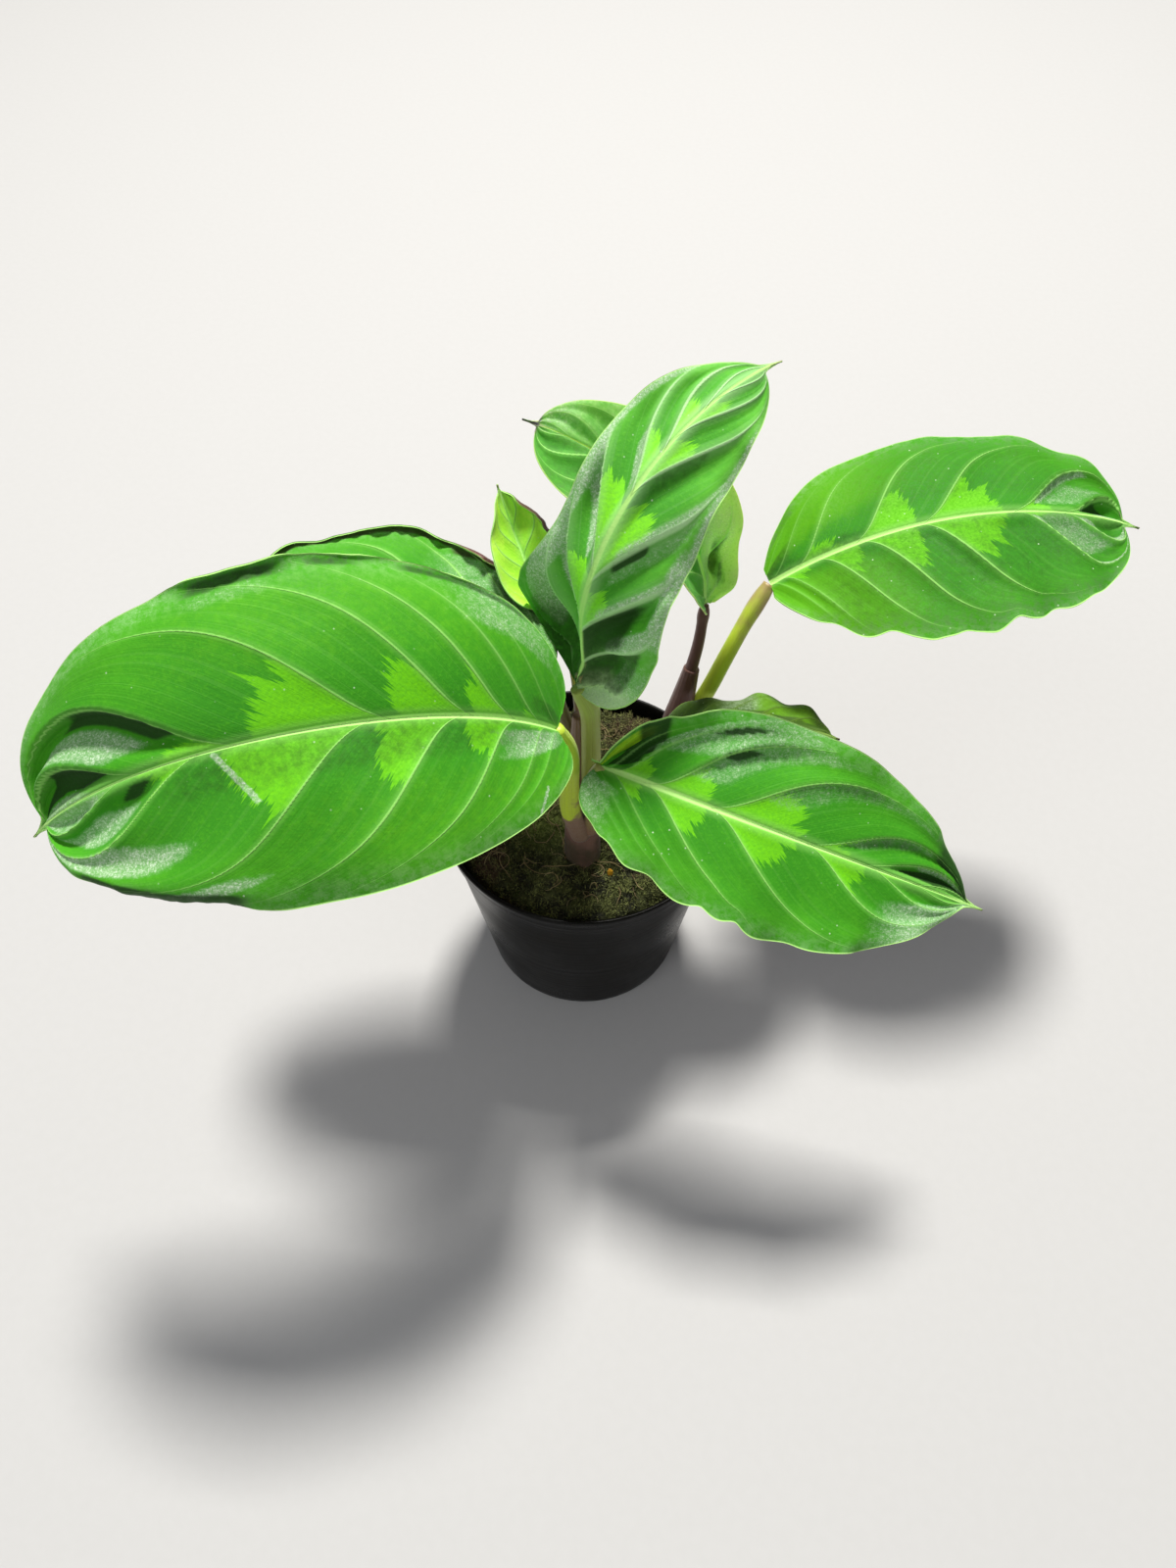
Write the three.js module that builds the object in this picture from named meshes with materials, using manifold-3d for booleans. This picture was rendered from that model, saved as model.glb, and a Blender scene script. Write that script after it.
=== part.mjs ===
// A potted prayer plant with velvety, feather-marked leaves, standing in a thin round nursery pot.
// Millimetres, +Z up, with the origin at the middle of the pot's flat base.
// Every leaf blade, leaf stalk, leafy shoot, the moss, the soil and the pot is a closed solid.

import * as THREE from 'three';
import { mergeVertices } from 'three/addons/utils/BufferGeometryUtils.js';
import Module from 'manifold-3d';

const wasm = await Module();
wasm.setup();

// Pot, a 10.5 cm round nursery pot
const POT_RIM_RADIUS = 52.5;
const POT_BASE_RADIUS = 38.5;
const POT_HEIGHT = 88;
const POT_COLLAR_DEPTH = 8;
const POT_COLLAR_STEP = 1.1;
const POT_WALL = 1.1;
const POT_FLOOR = 1.4;
const POT_BASE_BEVEL = 1.2;
const POT_COLLAR_SLOPE = 0.8;
const POT_LIP_ROUND = 0.9;
const POT_SEGMENTS = 48;
const DRAIN_HOLES = 6;
const DRAIN_HOLE_RADIUS = 3.2;
const DRAIN_HOLE_SIDES = 16;
const DRAIN_RING_RADIUS = 26;

// What fills the pot
const GAP = 0.3;
const SOIL_TOP = 79;
const MOSS_TOP = 82;
const MOSS_RINGS = 10;
const MOSS_SECTORS = 40;
const MOSS_CUSHIONS = 34;
const MOSS_CUSHION_HEIGHT = [1.3, 3.2];
const MOSS_CUSHION_REACH = [6, 11];
const MOSS_EDGE_DROP = 1;
const MOSS_SEED = 11;

// Leaf blades
const BLADE_THICKNESS = 0.8;
const RIB_DEPTH = 1.3;
const DRIP_TIP_START = 0.945;
const DRIP_TIP_WIDTH = 0.05;
const LATERAL_SWEEP = 1.9;
const SWEEP_NEAR_MIDRIB = 0.45;
const LOBE_REACH = 0.3;
const MARGIN_POWER = 2.1;
const WAVE_FADE_NEAR_TIP = 6;
const FULL_QUILT_CELL = 0.16;
const MIDRIB_STEPS = 60;
const BLADE_ROWS = 28;
const ROW_CROWDING = 1.25;
const ACROSS = [0.07, 0.32, 0.58, 0.82, 1];
const STALK_STEPS = 10;
const STALK_SIDES = 8;
const STALK_SETBACK = 0.9;

// Each leaf: where the stalk meets the blade, the compass heading it grows in, its rise at the
// base and at the tip, how far its midrib swings sideways (degrees), its length and width, how
// far it rolls and twists. In pairs, left half first: where along it is widest, how full it is
// towards the tip and the base, how it rises from the midrib (fold) and then bends down (curl),
// and where its side veins leave the midrib. Quilt is how deep the blade sinks between side
// veins at the base and at the tip. The margin waves have a height, a count and a phase. A pinch
// draws the left margin in at one place.
const LEAVES = {
  front_left: {
    base: [-7.6, -36.5, 172.7], heading: 214.4, riseBase: 49.9, riseTip: -51.6, swing: -40.4,
    length: 169.7, width: 92.4, roll: -33, twist: -1.9, lobe: 0.01, shoulder: 0.16, skew: -0.02,
    widest: [0.50, 0.45], tipFullness: [0.69, 0.44], baseFullness: [0.61, 0.53],
    fold: [23.3, 24.2], curl: [53, 59.3],
    sideVeins: [[0.06, 0.14, 0.23, 0.40, 0.60, 0.73, 0.87], [0.07, 0.15, 0.25, 0.38, 0.60, 0.76]],
    quilt: [0.5, 3.6], waveHeight: 1.0, waves: 4.2, wavePhase: 0.3,
    stalk: [[-0.5, -23.5, 103], [-1.5, -27, 122], [-2, -29.5, 140], [-3.4, -32.5, 158]],
    stalkRadius: [3.6, 2.5],
  },
  mid_left: {
    base: [-10.6, -2.1, 158.3], heading: 163.9, riseBase: 39.4, riseTip: -33.4, swing: 29.4,
    length: 114.4, width: 70.9, roll: 15.6, twist: -20.7, lobe: 0.01, shoulder: 0.16, skew: -0.01,
    widest: [0.39, 0.39], tipFullness: [0.54, 0.54], baseFullness: [0.5, 0.5],
    fold: [15.8, 13.2], curl: [23.7, 11.2],
    sideVeins: [[0.1, 0.21, 0.34, 0.50, 0.66, 0.82], [0.08, 0.18, 0.31, 0.46, 0.63, 0.79]],
    quilt: [0.6, 1.6], waveHeight: 1.6, waves: 4.5, wavePhase: 0.1,
    stalk: [[-1, -15.5, 128], [-4, -11.5, 140], [-7.4, -7, 150]],
    stalkRadius: [2.2, 1.8],
  },
  young_back_left: {
    base: [-12.1, 18.4, 166.4], heading: 111, riseBase: 12, riseTip: 64, swing: 14,
    length: 43.5, width: 27, roll: 2, twist: 5.2, lobe: 0.01, shoulder: 0.34, skew: 0,
    widest: [0.38, 0.38], tipFullness: [0.75, 0.85], baseFullness: [0.5, 0.5],
    fold: [26, 32], curl: [4, 12],
    sideVeins: [[0.15, 0.31, 0.5, 0.7], [0.13, 0.28, 0.46, 0.67]],
    quilt: [0.5, 0.5], waveHeight: 0.7, waves: 3, wavePhase: 0.4,
    stalk: [[0, -13, 132], [-1, -5, 144], [-3, 4, 155], [-8, 12, 163]],
    stalkRadius: [1.9, 1.5],
  },
  tall_centre: {
    base: [-1.4, -13.8, 165.1], heading: 45.8, riseBase: 101.5, riseTip: -6, swing: -8.3,
    length: 127.2, width: 62, roll: -7.1, twist: 33.6, lobe: 0, shoulder: 0.6, skew: 0.19,
    widest: [0.1, 0.31], tipFullness: [0.77, 0.43], baseFullness: [0.4, 1],
    fold: [-12, -10.8], curl: [0.5, 41.7],
    sideVeins: [[0.13, 0.27, 0.36, 0.5, 0.63, 0.76, 0.88], [0.14, 0.27, 0.4, 0.56, 0.67, 0.78]],
    quilt: [3.2, 0.8], waveHeight: 1.2, waves: 4.5, wavePhase: 0.6,
    pinch: { at: 0.44, depth: 0.4, reach: 0.24 },
    stalk: [[3, -20, 114], [4.6, -20, 131], [3.6, -18.6, 147]],
    stalkRadius: [2.3, 1.9],
  },
  back_centre: {
    base: [41.9, 39, 148], heading: 178.9, riseBase: 88.6, riseTip: 0.4, swing: -23.9,
    length: 98.4, width: 41.5, roll: -27.9, twist: -16.8, lobe: 0.01, shoulder: 0.12, skew: -0.03,
    widest: [0.7, 0.49], tipFullness: [0.53, 0.54], baseFullness: [0.61, 0.63],
    fold: [24.7, 27.1], curl: [0, -6.9],
    sideVeins: [[0.12, 0.24, 0.38, 0.55, 0.72, 0.86], [0.1, 0.22, 0.36, 0.52, 0.69, 0.84]],
    quilt: [1.4, 0.6], waveHeight: 0.8, waves: 4, wavePhase: 0.2,
    stalk: [[38, 30.5, 122], [40.5, 34.5, 134]],
    stalkRadius: [2.3, 1.7],
  },
  right: {
    base: [65.2, 48.9, 148], heading: 10.2, riseBase: 33.4, riseTip: -22.8, swing: -7,
    length: 135.1, width: 83.1, roll: 6.6, twist: 2.5, lobe: 0, shoulder: 0.1, skew: -0.09,
    widest: [0.39, 0.48], tipFullness: [0.36, 0.46], baseFullness: [0.75, 0.62],
    fold: [13.7, 11.9], curl: [33, 28.8],
    sideVeins: [[0.08, 0.175, 0.28, 0.45, 0.65, 0.79], [0.07, 0.15, 0.25, 0.425, 0.65, 0.78]],
    quilt: [0.6, 2.6], waveHeight: 1.5, waves: 5.5, wavePhase: 0.5,
    stalk: [[37, 25.5, 98], [46, 30, 118], [55, 38.5, 136]],
    stalkRadius: [3.2, 2.6],
  },
  front_right: {
    base: [6.2, -31.3, 148.5], heading: 330.7, riseBase: 4.2, riseTip: -30.9, swing: 27.1,
    length: 129.3, width: 63.5, roll: 28.5, twist: 3.2, lobe: 0.03, shoulder: 0.18, skew: 0.02,
    widest: [0.47, 0.56], tipFullness: [0.83, 0.99], baseFullness: [0.68, 0.44],
    fold: [12, 10.5], curl: [5.3, 28.9],
    sideVeins: [[0.05, 0.125, 0.21, 0.35, 0.55, 0.71, 0.85], [0.06, 0.16, 0.30, 0.52, 0.70, 0.84]],
    quilt: [0.8, 2.0], waveHeight: 1.5, waves: 5.5, wavePhase: 0.15,
    stalk: [[2.5, -24, 104], [3.6, -28, 124], [3.4, -31, 140]],
    stalkRadius: [3, 2.2],
  },
  low_right: {
    base: [29.9, 4.7, 120], heading: 7.2, riseBase: 15.8, riseTip: -20.2, swing: -16.6,
    length: 60.2, width: 42.5, roll: -15.1, twist: 3.3, lobe: 0.01, shoulder: 0.41, skew: -0.01,
    widest: [0.46, 0.42], tipFullness: [0.58, 0.57], baseFullness: [0.53, 0.61],
    fold: [4.5, 4.1], curl: [31.9, 13.2],
    sideVeins: [[0.12, 0.28, 0.46, 0.66, 0.84], [0.12, 0.28, 0.46, 0.66, 0.84]],
    quilt: [0.8, 1.2], waveHeight: 1.4, waves: 4, wavePhase: 0.7,
    stalk: [[31.5, 18, 94], [29.5, 11, 107]],
    stalkRadius: [2, 1.6],
  },
};

// The two leafy shoots: their way up from the soil and their radius along it
const SHOOTS = {
  front: {
    path: [[0.8, -21, 66], [0.6, -19.5, 100], [-0.6, -16, 130], [-2.6, -12.6, 147]],
    radius: [6.4, 5.9, 4.2, 2.4],
    leaves: ['front_left', 'mid_left', 'young_back_left', 'tall_centre', 'front_right'],
  },
  rear: {
    path: [[28, 18, 66], [32, 23, 90], [36, 28, 110], [38.6, 31.2, 124]],
    radius: [5.2, 4.8, 3.9, 2.6],
    leaves: ['back_centre', 'right', 'low_right'],
  },
};

const SHOOT_STEPS = 14;
const SHOOT_SIDES = 14;

const COLOURS = {
  pot: { color: 0x1d1b1a, roughness: 0.25, metalness: 0 },
  soil: { color: 0x3a2b1e, roughness: 0.95, metalness: 0 },
  moss: { color: 0x4d5a25, roughness: 0.95, metalness: 0 },
  blade: { color: 0x2f8a24, roughness: 0.5, metalness: 0 },
  youngBlade: { color: 0x86c22c, roughness: 0.5, metalness: 0 },
  stalk: { color: 0x9db23c, roughness: 0.45, metalness: 0 },
  shoot: { color: 0x7c5f50, roughness: 0.55, metalness: 0 },
};

const radians = THREE.MathUtils.degToRad;
const clamp = THREE.MathUtils.clamp;
const point = (list) => new THREE.Vector3(...list);

// Evenly spread seeded draws between 0 and 1
function seededDraws(seed) {
  let state = seed;
  return () => {
    state = (state * 1664525 + 1013904223) % 4294967296;
    return state / 4294967296;
  };
}

function closedGeometry(positions, triangles) {
  const geometry = new THREE.BufferGeometry();
  geometry.setAttribute('position', new THREE.Float32BufferAttribute(positions, 3));
  geometry.setIndex(triangles);
  return geometry;
}

function toSolid(geometry) {
  const bare = geometry.clone();
  bare.deleteAttribute('normal');
  bare.deleteAttribute('uv');
  const merged = mergeVertices(bare, 1e-4);
  return new wasm.Manifold(new wasm.Mesh({
    numProp: 3,
    vertProperties: new Float32Array(merged.attributes.position.array),
    triVerts: new Uint32Array(merged.index.array),
  }));
}

function toGeometry(solid) {
  const mesh = solid.getMesh();
  return closedGeometry(Array.from(mesh.vertProperties), Array.from(mesh.triVerts));
}

// The biggest body of a cut, without loose chips
function largestBody(solid) {
  return solid.decompose().reduce((best, body) => (body.volume() > best.volume() ? body : best));
}

function namedMesh(name, geometry, finish) {
  const mesh = new THREE.Mesh(geometry, new THREE.MeshStandardMaterial(finish));
  mesh.name = name;
  return mesh;
}

// The midrib as points, with the directions along it, across to the left and up from the blade
function midribFrames(leaf) {
  const frames = [];
  const place = point(leaf.base);
  const stepLength = leaf.length / MIDRIB_STEPS;
  let last = null;
  for (let step = 0; step <= MIDRIB_STEPS; step += 1) {
    const part = step / MIDRIB_STEPS;
    const heading = radians(leaf.heading + leaf.swing * part);
    const rise = radians(leaf.riseBase + (leaf.riseTip - leaf.riseBase) * part);
    const roll = radians(leaf.roll + leaf.twist * part);
    const along = new THREE.Vector3(
      Math.cos(rise) * Math.cos(heading), Math.cos(rise) * Math.sin(heading), Math.sin(rise));
    const level = new THREE.Vector3(-Math.sin(heading), Math.cos(heading), 0);
    const upright = along.clone().cross(level);
    const left = level.clone().multiplyScalar(Math.cos(roll)).addScaledVector(upright, Math.sin(roll));
    const up = upright.clone().multiplyScalar(Math.cos(roll)).addScaledVector(level, -Math.sin(roll));
    if (last) {
      place.addScaledVector(last.clone().add(along), stepLength / 2);
    }
    last = along;
    frames.push({ place: place.clone(), along, left, up });
  }
  return frames;
}

// The frame at a fraction of the length, carried on straight behind the base
function frameAt(frames, part, length) {
  const inside = clamp(part, 0, 1) * MIDRIB_STEPS;
  const before = Math.min(Math.floor(inside), MIDRIB_STEPS - 1);
  const share = inside - before;
  const a = frames[before];
  const b = frames[before + 1];
  const along = a.along.clone().lerp(b.along, share);
  const place = a.place.clone().lerp(b.place, share);
  place.addScaledVector(along, (part - clamp(part, 0, 1)) * length);
  return { place, along, left: a.left.clone().lerp(b.left, share), up: a.up.clone().lerp(b.up, share) };
}

// Half-width of one half as a share of the greatest, from the basal lobes to the drip tip
function outline(leaf, part, half) {
  const share = (part + leaf.lobe) / (DRIP_TIP_START + leaf.lobe);
  const widest = leaf.widest[half];
  let reach;
  if (share < widest) {
    const round = Math.max(1 - (1 - share / widest) ** 2, 0);
    reach = leaf.shoulder + (1 - leaf.shoulder) * round ** leaf.baseFullness[half];
  } else {
    const past = clamp((share - widest) / (1 - widest), 0, 1);
    reach = Math.max(1 - past ** MARGIN_POWER, 0) ** leaf.tipFullness[half];
  }
  if (leaf.pinch && half === 0) {
    const away = (part - leaf.pinch.at) / leaf.pinch.reach;
    reach *= 1 - leaf.pinch.depth * Math.exp(-away * away);
  }
  const dripTip = DRIP_TIP_WIDTH * clamp((1 - part) / (2 * (1 - DRIP_TIP_START)), 0, 1);
  return Math.max(reach, dripTip);
}

// How deep the blade sinks between two side veins: nothing at a vein and most midway
function quilting(leaf, vein, across, half) {
  const veins = [0, ...leaf.sideVeins[half], 1];
  const next = clamp(veins.findIndex((at) => at > vein), 1, veins.length - 1);
  const cell = veins[next] - veins[next - 1];
  const share = clamp((vein - veins[next - 1]) / cell, 0, 1);
  const depth = THREE.MathUtils.lerp(leaf.quilt[0], leaf.quilt[1], vein)
    * Math.min(cell / FULL_QUILT_CELL, 1);
  return depth * 4 * share * (1 - share) * Math.sin(Math.PI * across);
}

// A point of the blade's middle surface: `vein` runs from base to tip along the midrib and
// `across` from the midrib, 0, to the margin, 1, along the side vein that leaves there.
function bladePoint(leaf, frames, vein, across, side) {
  const half = side > 0 ? 0 : 1;
  const sweep = across * (SWEEP_NEAR_MIDRIB + (1 - SWEEP_NEAR_MIDRIB) * across);
  const forward = (1 - (1 - vein) ** LATERAL_SWEEP - vein) * sweep;
  const lobeShare = Math.max(1 - vein / LOBE_REACH, 0) ** 2;
  const back = leaf.lobe * lobeShare * (2 * across - across * across);
  const marginPart = 1 - (1 - vein) ** LATERAL_SWEEP - leaf.lobe * lobeShare;
  const greatest = (leaf.width / 2) * (1 + side * leaf.skew);
  const breadth = outline(leaf, marginPart, half);
  const reach = breadth * greatest * across;
  const fold = radians(leaf.fold[half]);
  const bend = radians(leaf.curl[half]) / (leaf.width / 2) || 1e-7;
  const out = (Math.sin(fold) - Math.sin(fold - bend * reach)) / bend;
  const lift = (Math.cos(fold - bend * reach) - Math.cos(fold)) / bend;
  const tipFade = Math.min(1, (1 - vein) * WAVE_FADE_NEAR_TIP);
  const wave = leaf.waveHeight * tipFade * across ** 3
    * Math.sin(2 * Math.PI * (leaf.waves * vein + leaf.wavePhase) + side);
  const sink = quilting(leaf, vein, across, half) * breadth;
  const frame = frameAt(frames, vein + forward - back, leaf.length);
  return frame.place.addScaledVector(frame.left, side * out).addScaledVector(frame.up, lift + wave - sink);
}

// A thin closed blade: the same triangles on both faces, with the midrib raised underneath
function bladeGeometry(leaf, extra = 0) {
  const frames = midribFrames(leaf);
  const columns = [...ACROSS].reverse().map((across) => [across, 1]);
  columns.push([0, 1], ...ACROSS.map((across) => [across, -1]));
  const rows = [];
  for (let row = 0; row < BLADE_ROWS; row += 1) {
    const vein = (row / BLADE_ROWS) ** ROW_CROWDING;
    const behind = row === 0 ? -extra : 0;
    rows.push(columns.map(([across, side]) => bladePoint(leaf, frames, vein, across, side)
      .addScaledVector(frames[0].along, behind)));
  }
  const tip = frames[MIDRIB_STEPS].place;
  const last = columns.length - 1;
  const positions = [];
  const normals = rows.map((line, row) => line.map((_, column) => {
    const next = row + 1 < BLADE_ROWS ? rows[row + 1][column] : tip;
    const previous = row > 0 ? rows[row - 1][column] : line[column];
    const lengthwise = next.clone().sub(previous);
    const crosswise = line[Math.max(column - 1, 0)].clone().sub(line[Math.min(column + 1, last)]);
    return lengthwise.cross(crosswise).normalize();
  }));
  const offset = BLADE_THICKNESS / 2 + extra;
  [1, -1].forEach((face) => {
    rows.forEach((line, row) => line.forEach((place, column) => {
      const rib = face < 0 && columns[column][0] === 0 ? RIB_DEPTH * (1 - row / BLADE_ROWS) : 0;
      const spot = place.clone().addScaledVector(normals[row][column], face * (offset + rib));
      positions.push(spot.x, spot.y, spot.z);
    }));
    const spot = tip.clone().addScaledVector(frames[MIDRIB_STEPS].up, face * offset);
    positions.push(spot.x, spot.y, spot.z);
  });
  const perFace = BLADE_ROWS * columns.length + 1;
  const triangles = [];
  const addBoth = (a, b, c) => {
    triangles.push(a, b, c, perFace + a, perFace + c, perFace + b);
  };
  for (let row = 0; row < BLADE_ROWS; row += 1) {
    for (let column = 0; column < last; column += 1) {
      const a = row * columns.length + column;
      if (row + 1 < BLADE_ROWS) {
        addBoth(a, a + 1, a + 1 + columns.length);
        addBoth(a, a + 1 + columns.length, a + columns.length);
      } else {
        addBoth(a, a + 1, perFace - 1);
      }
    }
  }
  const rim = [];
  for (let column = last; column >= 0; column -= 1) rim.push(column);
  for (let row = 1; row < BLADE_ROWS; row += 1) rim.push(row * columns.length);
  rim.push(perFace - 1);
  for (let row = BLADE_ROWS - 1; row > 0; row -= 1) rim.push(row * columns.length + last);
  rim.forEach((a, place) => {
    const b = rim[(place + 1) % rim.length];
    triangles.push(a, b, perFace + b, a, perFace + b, perFace + a);
  });
  return closedGeometry(positions, triangles);
}

// A closed round tube along a smooth curve, its radius read off a list along the way
function taperedTube(path, radii, steps, sides, extra = 0) {
  const curve = new THREE.CatmullRomCurve3(path.map(point));
  const frames = curve.computeFrenetFrames(steps);
  const positions = [];
  const triangles = [];
  for (let step = 0; step <= steps; step += 1) {
    const centre = curve.getPointAt(step / steps);
    const beyond = extra * (Number(step === steps) - Number(step === 0));
    centre.addScaledVector(frames.tangents[step], beyond);
    const spot = (step / steps) * (radii.length - 1);
    const before = Math.min(Math.floor(spot), radii.length - 2);
    const radius = THREE.MathUtils.lerp(radii[before], radii[before + 1], spot - before) + extra;
    for (let side = 0; side < sides; side += 1) {
      const angle = (2 * Math.PI * side) / sides;
      const place = centre.clone().addScaledVector(frames.normals[step], radius * Math.cos(angle))
        .addScaledVector(frames.binormals[step], radius * Math.sin(angle));
      positions.push(place.x, place.y, place.z);
    }
  }
  for (let step = 0; step < steps; step += 1) {
    for (let side = 0; side < sides; side += 1) {
      const a = step * sides + side;
      const b = step * sides + ((side + 1) % sides);
      triangles.push(a, b, b + sides, a, b + sides, a + sides);
    }
  }
  [[0, 0], [steps, 1]].forEach(([ring, end]) => {
    const centre = curve.getPointAt(end).addScaledVector(frames.tangents[ring], extra * (2 * end - 1));
    const middle = positions.length / 3;
    positions.push(centre.x, centre.y, centre.z);
    for (let side = 0; side < sides; side += 1) {
      const a = ring * sides + side;
      const b = ring * sides + ((side + 1) % sides);
      triangles.push(...(end ? [middle, a, b] : [middle, b, a]));
    }
  });
  return closedGeometry(positions, triangles);
}

function lathe(profile, segments) {
  const geometry = new THREE.LatheGeometry(profile.map(([r, z]) => new THREE.Vector2(r, z)), segments);
  return geometry.rotateX(Math.PI / 2);
}

function wallRadius(height) {
  const top = POT_RIM_RADIUS - POT_COLLAR_STEP;
  return THREE.MathUtils.lerp(POT_BASE_RADIUS, top, height / POT_HEIGHT);
}

// Thin tapered cup with a stepped collar, a rounded lip and a ring of drain holes
function potSolid() {
  const collar = POT_HEIGHT - POT_COLLAR_DEPTH;
  const profile = [
    [0, 0], [POT_BASE_RADIUS - POT_BASE_BEVEL, 0], [POT_BASE_RADIUS, POT_BASE_BEVEL],
    [wallRadius(collar), collar], [wallRadius(collar) + POT_COLLAR_STEP, collar + POT_COLLAR_SLOPE],
    [POT_RIM_RADIUS, POT_HEIGHT - POT_LIP_ROUND],
    [POT_RIM_RADIUS - POT_WALL / 4, POT_HEIGHT - POT_WALL / 8],
    [POT_RIM_RADIUS - POT_WALL, POT_HEIGHT],
    [POT_RIM_RADIUS - POT_WALL - POT_LIP_ROUND, POT_HEIGHT - POT_LIP_ROUND],
    [wallRadius(collar) - POT_WALL, collar], [wallRadius(POT_FLOOR) - POT_WALL, POT_FLOOR],
    [0, POT_FLOOR],
  ];
  let solid = toSolid(lathe(profile, POT_SEGMENTS));
  for (let hole = 0; hole < DRAIN_HOLES; hole += 1) {
    const angle = (2 * Math.PI * (hole + 0.5)) / DRAIN_HOLES;
    const cutter = new THREE.CylinderGeometry(
      DRAIN_HOLE_RADIUS, DRAIN_HOLE_RADIUS, 4 * POT_FLOOR, DRAIN_HOLE_SIDES);
    cutter.rotateX(Math.PI / 2);
    cutter.translate(DRAIN_RING_RADIUS * Math.cos(angle), DRAIN_RING_RADIUS * Math.sin(angle), 0);
    solid = solid.subtract(toSolid(cutter));
  }
  return solid;
}

function soilSolid() {
  const inner = (height) => wallRadius(height) - POT_WALL - GAP;
  return toSolid(lathe([
    [0, POT_FLOOR + GAP], [inner(POT_FLOOR) - GAP, POT_FLOOR + GAP],
    [inner(SOIL_TOP) - GAP, SOIL_TOP], [0, SOIL_TOP],
  ], POT_SEGMENTS));
}

// A mat of moss over the soil, raised into low cushions that are larger than life
function mossSolid() {
  const draw = seededDraws(MOSS_SEED);
  const outer = wallRadius(SOIL_TOP) - POT_WALL - 2 * GAP;
  const cushions = Array.from({ length: MOSS_CUSHIONS }, () => {
    const radius = outer * Math.sqrt(draw());
    const angle = 2 * Math.PI * draw();
    return {
      x: radius * Math.cos(angle),
      y: radius * Math.sin(angle),
      reach: THREE.MathUtils.lerp(...MOSS_CUSHION_REACH, draw()),
      height: THREE.MathUtils.lerp(...MOSS_CUSHION_HEIGHT, draw()),
    };
  });
  const topAt = (x, y) => cushions.reduce((height, cushion) => {
    const away = Math.hypot(x - cushion.x, y - cushion.y) / cushion.reach;
    return away < 1 ? Math.max(height, MOSS_TOP + cushion.height * Math.sqrt(1 - away * away)) : height;
  }, MOSS_TOP);
  const floor = SOIL_TOP + GAP;
  const positions = [0, 0, topAt(0, 0), 0, 0, floor];
  for (let ring = 1; ring <= MOSS_RINGS; ring += 1) {
    const radius = (outer * ring) / MOSS_RINGS;
    for (let sector = 0; sector < MOSS_SECTORS; sector += 1) {
      const angle = (2 * Math.PI * (sector + 0.5 * (ring % 2))) / MOSS_SECTORS;
      const x = radius * Math.cos(angle);
      const y = radius * Math.sin(angle);
      const top = ring === MOSS_RINGS ? MOSS_TOP - MOSS_EDGE_DROP : topAt(x, y);
      positions.push(x, y, top, x, y, floor);
    }
  }
  const at = (ring, sector, low) => {
    const spot = (ring - 1) * MOSS_SECTORS + ((sector + MOSS_SECTORS) % MOSS_SECTORS);
    return 2 + 2 * spot + low;
  };
  const triangles = [];
  const addBoth = (corners) => {
    const [a, b, c] = corners;
    triangles.push(a, b, c, a + 1, c + 1, b + 1);
  };
  for (let sector = 0; sector < MOSS_SECTORS; sector += 1) {
    addBoth([0, at(1, sector, 0), at(1, sector + 1, 0)]);
    for (let ring = 1; ring < MOSS_RINGS; ring += 1) {
      addBoth([at(ring, sector, 0), at(ring + 1, sector, 0), at(ring + 1, sector + 1, 0)]);
      addBoth([at(ring, sector, 0), at(ring + 1, sector + 1, 0), at(ring, sector + 1, 0)]);
    }
    const a = at(MOSS_RINGS, sector, 0);
    const b = at(MOSS_RINGS, sector + 1, 0);
    triangles.push(a, a + 1, b + 1, a, b + 1, b);
  }
  return toSolid(closedGeometry(positions, triangles));
}

// A leaf's stalk, from inside its shoot to just behind the blade
function stalkSolid(leaf, extra = 0) {
  const frames = midribFrames(leaf);
  const end = frames[0].place.clone().addScaledVector(frames[0].along, -STALK_SETBACK);
  const path = [...leaf.stalk, end.toArray()];
  return toSolid(taperedTube(path, leaf.stalkRadius, STALK_STEPS, STALK_SIDES, extra));
}

const plant = new THREE.Group();
let soil = soilSolid();
let moss = mossSolid();
const takenByStalks = [];
Object.entries(SHOOTS).forEach(([shootName, shoot]) => {
  const shootAt = (extra) => toSolid(
    taperedTube(shoot.path, shoot.radius, SHOOT_STEPS, SHOOT_SIDES, extra));
  const clearance = shootAt(GAP);
  soil = soil.subtract(clearance);
  moss = moss.subtract(clearance);
  plant.add(namedMesh(`shoot_${shootName}`, toGeometry(shootAt(0)), COLOURS.shoot));
  shoot.leaves.forEach((leafName) => {
    const leaf = LEAVES[leafName];
    const blade = bladeGeometry(leaf);
    const finish = leafName === 'young_back_left' ? COLOURS.youngBlade : COLOURS.blade;
    let stalk = stalkSolid(leaf).subtract(clearance).subtract(toSolid(bladeGeometry(leaf, GAP)));
    takenByStalks.forEach((taken) => {
      stalk = stalk.subtract(taken);
    });
    takenByStalks.push(stalkSolid(leaf, GAP));
    plant.add(namedMesh(`stalk_${leafName}`, toGeometry(largestBody(stalk)), COLOURS.stalk));
    plant.add(namedMesh(`leaf_${leafName}`, blade, finish));
  });
});
plant.add(namedMesh('moss', toGeometry(largestBody(moss)), COLOURS.moss));
plant.add(namedMesh('soil', toGeometry(largestBody(soil)), COLOURS.soil));
plant.add(namedMesh('pot', toGeometry(potSolid()), COLOURS.pot));

export default plant;
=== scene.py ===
"""Looks of a small potted prayer plant: velvety feather-marked leaves, mossy soil, a thin nursery pot.

Sizes are millimetres in the plant's own frame: +X right, +Y away, +Z up, with the origin at the
middle of the pot's flat base. Meshes are handed to Blender in metres.
"""

import logging
import math
from collections.abc import Callable, Sequence
from dataclasses import dataclass, field
from enum import Enum

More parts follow.
